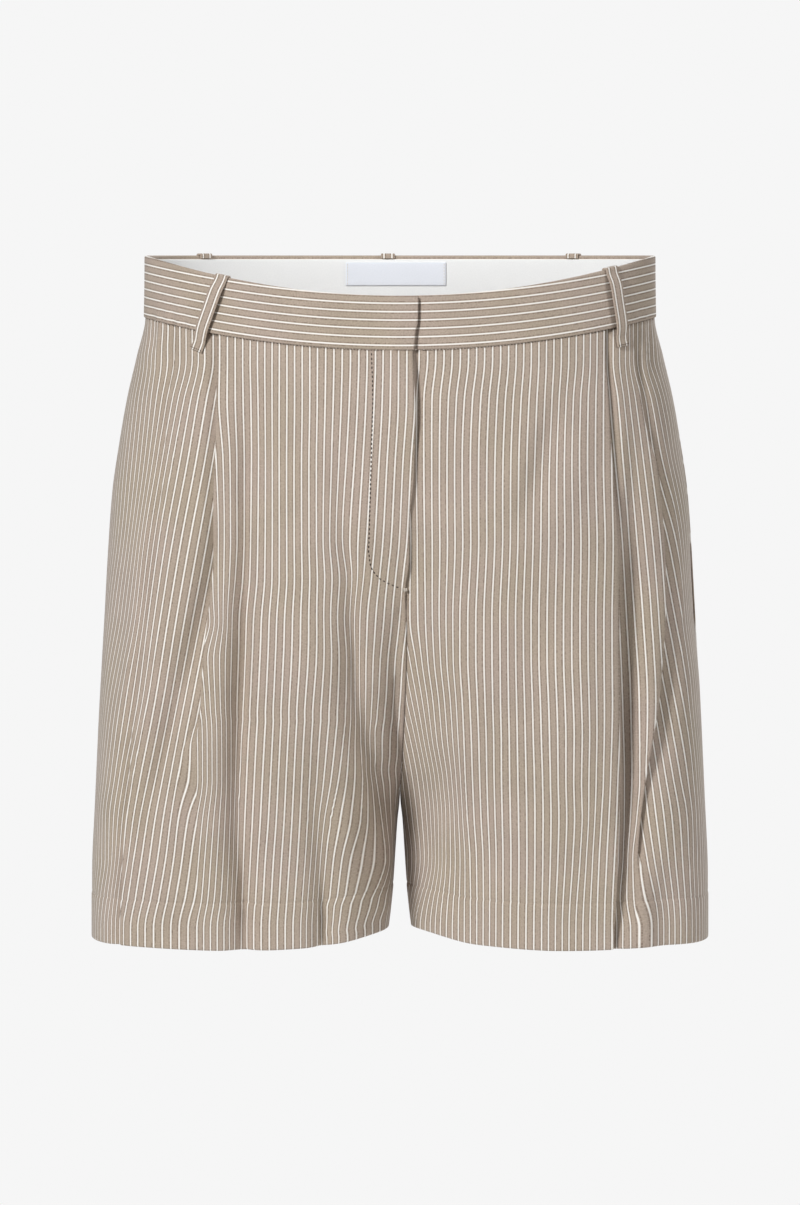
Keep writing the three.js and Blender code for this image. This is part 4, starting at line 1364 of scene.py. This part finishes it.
def weave_group():
    """Fine cloth: a plain weave, uneven yarn and soft patches, as a lightness factor and a height."""
    tree, inside, give = new_group(
        "Fine weave",
        [("Yarn", "Float", 0.45), ("Mottle", "Float", 0.05)],
        {"Lightness": "Float", "Height": "Float"},
    )
    split = add_node(tree, "ShaderNodeSeparateXYZ", {0: inside["Vector"]})
    turn = calculate(tree, "DIVIDE", 2 * math.pi / MM, inside["Yarn"])
    across, down = (
        calculate(tree, "SINE", calculate(tree, "MULTIPLY", split.outputs[k], turn)) for k in range(2)
    )
    weave = calculate(tree, "MULTIPLY", across, down)
    yarn = noise(tree, inside["Vector"], YARN_SCALE, 2.0)
    patches = calculate(tree, "MULTIPLY", noise(tree, inside["Vector"], PATCH_SCALE, 3.0), 0.5)
    both = calculate(tree, "MULTIPLY_ADD", yarn, 1.6, patches)
    uneven = calculate(tree, "MULTIPLY", calculate(tree, "SUBTRACT", both, 1.05), inside["Mottle"])
    woven = calculate(tree, "MULTIPLY_ADD", weave, 0.02, 1.0)
    return give(
        Lightness=calculate(tree, "ADD", woven, uneven),
        Height=calculate(tree, "MULTIPLY_ADD", weave, 0.5, yarn),
    )


def pinstripe_group():
    """Pinstripe suiting: fine pale stripes, each with dotted dark lines beside it, on a woven ground."""
    tree, inside, give = new_group(
        "Pinstripe suiting",
        [
            ("Offset", "Float", 0.0),
            ("Pitch", "Float", STRIPE_PITCH),
            ("Width", "Float", 1.0),
            ("Dots from stripe", "Float", 1.1),
            ("Ground", "Color", srgb(186, 172, 161)),
            ("Stripe", "Color", srgb(255, 252, 246)),
            ("Dots", "Color", srgb(118, 102, 88)),
        ],
        {"Color": "Color", "Height": "Float"},
    )
    split = add_node(tree, "ShaderNodeSeparateXYZ", {0: inside["Vector"]})
    u = calculate(tree, "SUBTRACT", calculate(tree, "DIVIDE", split.outputs[0], MM), inside["Offset"])
    away = calculate(tree, "PINGPONG", u, calculate(tree, "DIVIDE", inside["Pitch"], 2.0))
    start, end = (calculate(tree, "MULTIPLY", inside["Width"], k) for k in (0.3, 0.7))
    stripe = step_down(tree, away, start, end)

    from_line = calculate(tree, "SUBTRACT", away, inside["Dots from stripe"])
    beside = calculate(tree, "ABSOLUTE", from_line)
    line = step_down(tree, beside, DOT_WIDTH * 0.2, DOT_WIDTH * 0.8)
    spot_across = calculate(tree, "DIVIDE", u, inside["Pitch"])
    spot_down = calculate(tree, "DIVIDE", split.outputs[1], DOT_LENGTH * MM)
    spots = add_node(tree, "ShaderNodeCombineXYZ", {0: spot_across, 1: spot_down}).outputs[0]
    spot = calculate(tree, "SUBTRACT", 1.0, step_down(tree, noise(tree, spots, 1.6, 1.0), 0.46, 0.6))
    dots = calculate(tree, "MULTIPLY", line, calculate(tree, "MULTIPLY_ADD", spot, 0.6, 0.2))

    sockets = {"Vector": inside["Vector"], "Mottle": SUITING_MOTTLE}
    weave = use_group(tree, group_once("Fine weave", weave_group), sockets)
    ground = multiply_colours(tree, inside["Ground"], grey(tree, weave.outputs["Lightness"]))
    olive = multiply_colours(tree, ground, OLIVE)
    tint = step_down(tree, noise(tree, inside["Vector"], TINT_SCALE, 1.0), 0.3, 0.7)
    tinted = blend_colours(tree, tint, olive, ground)
    dotted = blend_colours(tree, dots, tinted, inside["Dots"])
    return give(
        Color=blend_colours(tree, stripe, dotted, inside["Stripe"]),
        Height=calculate(tree, "MULTIPLY_ADD", stripe, 0.6, weave.outputs["Height"]),
    )


def plain_group():
    """Plain cloth: a tint on the fine weave."""
    tree, inside, give = new_group(
        "Plain cloth",
        [("Yarn", "Float", 0.45), ("Tint", "Color", srgb(230, 230, 230))],
        {"Color": "Color", "Height": "Float"},
    )
    sockets = {"Vector": inside["Vector"], "Yarn": inside["Yarn"]}
    weave = use_group(tree, group_once("Fine weave", weave_group), sockets)
    return give(
        Color=multiply_colours(tree, inside["Tint"], grey(tree, weave.outputs["Lightness"])),
        Height=weave.outputs["Height"],
    )


def thread_group():
    """Twisted thread: a colour and a darker tone of it in fine turns."""
    tree, inside, give = new_group(
        "Twisted thread", [("Tint", "Color", srgb(200, 190, 180))], {"Color": "Color"}
    )
    twist = noise(tree, inside["Vector"], TWIST_SCALE, 1.0)
    dark = multiply_colours(tree, inside["Tint"], DARKER)
    return give(Color=blend_colours(tree, twist, dark, inside["Tint"]))


def group_once(name, make):
    return bpy.data.node_groups.get(name) or make()


def new_material(name, look):
    """A material, its tree and its shader, with the shader's sockets set."""
    material = bpy.data.materials.new(name)
    material.use_nodes = True
    shader = material.node_tree.nodes["Principled BSDF"]
    for socket, value in look.items():
        shader.inputs[socket].default_value = value
    return material, material.node_tree, shader


def cloth_once(name, group, sockets, roughness, sheen, bump):
    """A cloth material from a colour group on the piece's own UV, made when it is first asked for."""
    if name in bpy.data.materials:
        return bpy.data.materials[name]
    look = {"Roughness": roughness, "Sheen Weight": sheen, **CLOTH_LOOK}
    material, tree, shader = new_material(name, look)
    uv = add_node(tree, "ShaderNodeUVMap", uv_map="cloth").outputs[0]
    cloth = use_group(tree, group, {"Vector": uv, **sockets})
    tree.links.new(cloth.outputs["Color"], shader.inputs["Base Color"])
    inputs = {"Height": cloth.outputs["Height"], "Distance": 0.0001, "Strength": bump}
    tree.links.new(add_node(tree, "ShaderNodeBump", inputs).outputs[0], shader.inputs["Normal"])
    return material


def suiting_once(part):
    cloth = bpy.context.scene.shorts_cloth
    sockets = {
        "Offset": STRIPE_OFFSET.get(part, 0.0),
        "Width": cloth.stripe_width / MM,
        "Dots from stripe": cloth.dots_from_stripe / MM,
        "Ground": (*cloth.ground, 1),
        "Stripe": (*cloth.stripe, 1),
        "Dots": (*cloth.dots, 1),
    }
    group = group_once("Pinstripe suiting", pinstripe_group)
    return cloth_once("Suiting " + part, group, sockets, 0.85, 0.15, 0.5)


def plain_once(name, colour, yarn, roughness=0.8, bump=0.5):
    group = group_once("Plain cloth", plain_group)
    return cloth_once(name, group, {"Yarn": yarn, "Tint": (*colour, 1)}, roughness, 0.1, bump)


def thread_material(name, colour):
    material, tree, shader = new_material(name, {"Roughness": 0.55})
    place_in_object = add_node(tree, "ShaderNodeTexCoord").outputs["Object"]
    sockets = {"Vector": place_in_object, "Tint": (*colour, 1)}
    twisted = use_group(tree, group_once("Twisted thread", thread_group), sockets)
    tree.links.new(twisted.outputs["Color"], shader.inputs["Base Color"])
    return material


def finish_piece(obj, material, node=None):
    obj.data.materials.append(material)
    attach(obj, BODY_NAME)
    if node:
        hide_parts(node)


def finish_sheet(obj, material, node):
    finish_piece(obj, material, node)


def number_property(name, description, default, low, high, **kind):
    return bpy.props.FloatProperty(
        name=name, description=description, default=default, min=low, max=high, **kind
    )


def length_property(name, description, default, low, high):
    return number_property(name, description, default, low, high, precision=5, unit="LENGTH")


def power_property(name, description, default):
    return number_property(name, description, default, 0.0, 500.0, precision=3, unit="POWER")


def colour_property(name, description, *colour):
    return bpy.props.FloatVectorProperty(
        name=name, description=description, default=srgb(*colour)[:3], min=0.0, max=1.0, subtype="COLOR"
    )


class ShortsCloth(bpy.types.PropertyGroup):
    """Sizes and colours of the cloths and the threads"""

    stripe_width: length_property("Stripe width", "Width of each pale stripe", 0.0009, 0.0002, 0.003)
    dots_from_stripe: length_property(
        "Dots from stripe", "From a stripe's middle to the dotted lines beside it", 0.0011, 0.0005, 0.0028
    )
    ground: colour_property("Ground", "Colour of the suiting between its stripes", 183, 166, 153)
    stripe: colour_property("Stripe", "Colour of the pale stripes", 255, 252, 246)
    dots: colour_property("Dots", "Colour of the dark dots beside a stripe", 112, 96, 82)
    facing: colour_property("Facing", "Colour of the facing inside the waistband", 242, 243, 243)
    label: colour_property("Label", "Colour of the bare label", 234, 238, 246)
    tape: colour_property("Zip tape", "Colour of the zip's tape", 156, 141, 128)
    pocketing: colour_property("Pocketing", "Colour of the pocket bags", 217, 210, 200)
    thread: colour_property("Thread", "Colour of the fly's and the loops' stitching", 52, 40, 30)
    seam_thread: colour_property("Seam thread", "Colour of the stitching under the band", 84, 70, 58)
    pale_thread: colour_property("Pale thread", "Colour of the tack and label stitching", 236, 226, 212)


class ShortsStudio(bpy.types.PropertyGroup):
    """Strength of the studio's light"""

    key: power_property("Key light", "Power of the light at the front left", 124.0)
    fill: power_property("Fill light", "Power of the light at the right", 44.0)
    back: power_property("Back light", "Power of the light behind", 60.0)
    waist: power_property("Waist light", "Power of the small light over the facing", 0.06)
    surround: number_property("Surround", "Strength of the even light from all round", 0.17, 0.0, 2.0)


class SHORTS_OT_panels(bpy.types.Operator):
    """Builds both fronts with their pleats and both backs"""

    bl_idname = "shorts.panels"
    bl_label = "Fronts and backs"

    def execute(self, context):
        for face, word in ((FRONT, "front"), (BACK, "back")):
            for side, hand in HANDS.items():
                name = word + "_" + hand
                finish_sheet(panel("cloth_" + name, face, side), suiting_once(name), name)
        return {"FINISHED"}


class SHORTS_OT_waistband(bpy.types.Operator):
    """Builds the waistband's two fronts and its back"""

    bl_idname = "shorts.waistband"
    bl_label = "Waistband"

    def execute(self, context):
        band = suiting_once("band")
        for side, hand in HANDS.items():
            node = "waistband_front_" + hand
            finish_sheet(front_band(side), band, node)
        node = "waistband_back"
        made = back_strip("cloth_" + node, 0, SEAM_Z, BAND_DEPTH, BAND_CLOTH, level_stripes=True)
        finish_sheet(made, suiting_once("back_band"), node)
        return {"FINISHED"}


class SHORTS_OT_facing(bpy.types.Operator):
    """Builds the pale facing inside the waistband and its bare label"""

    bl_idname = "shorts.facing"
    bl_label = "Facing and label"

    def execute(self, context):
        cloth = context.scene.shorts_cloth
        white = plain_once("Facing cloth", cloth.facing, 0.6)
        for side, hand in HANDS.items():
            finish_sheet(front_facing(side), white, "facing_front_" + hand)
        made = back_strip("cloth_facing_back", -FACING_DROP, SEAM_Z, FACING_DEPTH, FACING_CLOTH)
        finish_sheet(made, white, "facing_back")
        satin = plain_once("Label satin", cloth.label, 0.3, 0.45, 0.3)
        finish_sheet(label_piece(), satin, "label")
        return {"FINISHED"}


class SHORTS_OT_belt_loops(bpy.types.Operator):
    """Builds the five belt loops"""

    bl_idname = "shorts.belt_loops"
    bl_label = "Belt loops"

    def execute(self, context):
        for name, where in BELT_LOOPS.items():
            node = "belt_loop_" + name
            made = belt_loop("cloth_" + node, *where)
            finish_sheet(made, suiting_once("loop"), node)
        return {"FINISHED"}


class SHORTS_OT_fly(bpy.types.Operator):
    """Builds the zip's tape and the shield behind the fly"""

    bl_idname = "shorts.fly"
    bl_label = "Fly"

    def execute(self, context):
        edge = ZIP_WIDTH / 2
        tape = plain_once("Zip tape", context.scene.shorts_cloth.tape, 0.5)
        made = fly_strip("cloth_zip", -edge, edge, ZIP_DEPTH, ZIP_CLOTH)
        finish_sheet(made, tape, "zip")
        made = fly_strip("cloth_fly_shield", edge - SHIELD_WIDTH, edge, SHIELD_DEPTH, CLOTH)
        finish_sheet(made, suiting_once("front_left"), "fly_shield")
        return {"FINISHED"}


class SHORTS_OT_pocket_bags(bpy.types.Operator):
    """Builds the two pocket bags"""

    bl_idname = "shorts.pocket_bags"
    bl_label = "Pocket bags"

    def execute(self, context):
        cloth = plain_once("Pocketing", context.scene.shorts_cloth.pocketing, 0.5)
        for side, hand in HANDS.items():
            finish_sheet(pocket_bag(side), cloth, "pocket_bag_" + hand)
        return {"FINISHED"}


class SHORTS_OT_stitching(bpy.types.Operator):
    """Builds the stitching of the fly, the waist seam, the belt loops and the label, and the fly's tack"""

    bl_idname = "shorts.stitching"
    bl_label = "Stitching"

    def execute(self, context):
        cloth = context.scene.shorts_cloth
        brown = thread_material("Brown thread", cloth.thread)
        seam = thread_material("Seam thread", cloth.seam_thread)
        cream = thread_material("Pale thread", cloth.pale_thread)
        for name, rows, material in (
            ("stitches_fly", fly_stitching(), brown),
            ("stitches_waist_seam", seam_stitching(), seam),
            ("stitches_belt_loops", loop_stitching(), brown),
            ("stitches_label", label_stitching(), cream),
            ("stitches_tacks", tack_stitching(), cream),
        ):
            finish_piece(stitch_object(name, rows), material)
        return {"FINISHED"}


# Studio: metres
FLOOR_Z = -1.02
FLOOR_RADIUS = 2.4
FLOOR_CORNERS = 96
FLOOR_FADE = (1.3, 2.3)
BACKGROUND = 0.921
WHITE = (1, 1, 1, 1)
LENS = 192
SENSOR = 36
CAMERA_AIM_DROP = 0.243

# Lights: place, target and size of each; its power is the setting of its name.
LIGHTS = {
    "key": ((-2.1, -3.0, 1.5), (0, 0, -0.25), 0.8),
    "fill": ((3.3, -1.5, 0.6), (0, 0, -0.25), 1.4),
    "back": ((0.8, 2.6, 1.2), (0, 0, -0.2), 1.4),
    "waist": ((0, -0.05, 0.13), (0, 0.13, -0.03), 0.24),
}


class SHORTS_OT_stage(bpy.types.Operator):
    """Builds the floor, the studio light and the camera"""

    bl_idname = "shorts.stage"
    bl_label = "Studio"

    def execute(self, context):
        scene = context.scene
        scene.view_settings.view_transform = "Standard"
        floor_disc()
        for name, (place_at, target, size) in LIGHTS.items():
            soft_light(name.title() + " light", place_at, target, size, getattr(scene.shorts_studio, name))
        studio_world(scene, scene.shorts_studio.surround)
        camera = bpy.data.cameras.new("Camera")
        camera.lens = LENS
        camera.sensor_width = SENSOR
        camera.sensor_fit = "AUTO"
        camera.dof.use_dof = False
        made = bpy.data.objects.new("Camera", camera)
        away = CAMERA_DISTANCE * MM
        made.location = (0, -away, 0)
        made.rotation_euler = (math.pi / 2 - math.atan2(CAMERA_AIM_DROP, away), 0, 0)
        scene.collection.objects.link(made)
        scene.camera = made
        return {"FINISHED"}


def floor_disc():
    """A pale disc that fades out with its distance from the middle."""
    turns = np.linspace(0, 2 * math.pi, FLOOR_CORNERS, endpoint=False)
    x, y = np.cos(turns) * FLOOR_RADIUS, np.sin(turns) * FLOOR_RADIUS
    ring = np.stack([x, y, np.full(FLOOR_CORNERS, FLOOR_Z)], axis=1)
    floor = mesh_object("Floor", ring, [list(range(FLOOR_CORNERS))])
    material, tree, shader = new_material("Floor", {"Base Color": (0.85, 0.85, 0.85, 1), "Roughness": 0.9})
    at = add_node(tree, "ShaderNodeTexCoord").outputs["Object"]
    far = add_node(tree, "ShaderNodeVectorMath", {0: at}, operation="LENGTH").outputs["Value"]
    tree.links.new(step_down(tree, far, *FLOOR_FADE), shader.inputs["Alpha"])
    floor.data.materials.append(material)
    floor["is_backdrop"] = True


def soft_light(name, place_at, target, size, power):
    """An area light turned to a target."""
    light = bpy.data.lights.new(name, "AREA")
    light.size = size
    light.energy = power
    made = bpy.data.objects.new(name, light)
    made.location = place_at
    x, y, z = (t - p for t, p in zip(target, place_at))
    made.rotation_euler = (math.pi / 2 + math.atan2(z, math.hypot(x, y)), 0, math.atan2(-x, y))
    bpy.context.scene.collection.objects.link(made)


def studio_world(scene, strength):
    """A plain pale surround that gives an even light of its own strength."""
    world = bpy.data.worlds.new("Studio")
    scene.world = world
    world.use_nodes = True
    tree = world.node_tree
    tree.nodes.clear()
    seen, lit = (
        add_node(tree, "ShaderNodeBackground", {"Color": WHITE, "Strength": power}).outputs[0]
        for power in (BACKGROUND, strength)
    )
    to_camera = add_node(tree, "ShaderNodeLightPath").outputs["Is Camera Ray"]
    both = add_node(tree, "ShaderNodeMixShader", {0: to_camera, 1: lit, 2: seen}).outputs[0]
    add_node(tree, "ShaderNodeOutputWorld", {0: both})


OPERATORS = [
    SHORTS_OT_panels,
    SHORTS_OT_waistband,
    SHORTS_OT_facing,
    SHORTS_OT_belt_loops,
    SHORTS_OT_fly,
    SHORTS_OT_pocket_bags,
    SHORTS_OT_stitching,
    SHORTS_OT_stage,
]
SETTINGS = {"shorts_cloth": ShortsCloth, "shorts_studio": ShortsStudio}


class SHORTS_PT_sidebar(bpy.types.Panel):
    """Lists the settings and the steps that build the shorts"""

    bl_label = "Bermuda shorts"
    bl_idname = "SHORTS_PT_sidebar"
    bl_space_type = "VIEW_3D"
    bl_region_type = "UI"
    bl_category = "Shorts"

    def draw(self, context):
        for group, kind in SETTINGS.items():
            for setting in kind.__annotations__:
                self.layout.prop(getattr(context.scene, group), setting)
        for operator in OPERATORS:
            self.layout.operator(operator.bl_idname)


CLASSES = [*SETTINGS.values(), *OPERATORS, SHORTS_PT_sidebar]


def register():
    for item in CLASSES:
        bpy.utils.register_class(item)
    for group, kind in SETTINGS.items():
        setattr(bpy.types.Scene, group, bpy.props.PointerProperty(type=kind))


def unregister():
    for group in SETTINGS:
        delattr(bpy.types.Scene, group)
    for item in reversed(CLASSES):
        bpy.utils.unregister_class(item)


def corners(bounds):
    return [list(corner) for corner in bounds]


def main():
    register()
    for operator in OPERATORS:
        group, action = operator.bl_idname.split(".")
        if getattr(getattr(bpy.ops, group), action)() != {"FINISHED"}:
            raise RuntimeError(operator.bl_label + " did not finish")
    {"cad": corners(CAD_BOUNDS), "built": corners(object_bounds())}


if __name__ == "__main__":
    main()
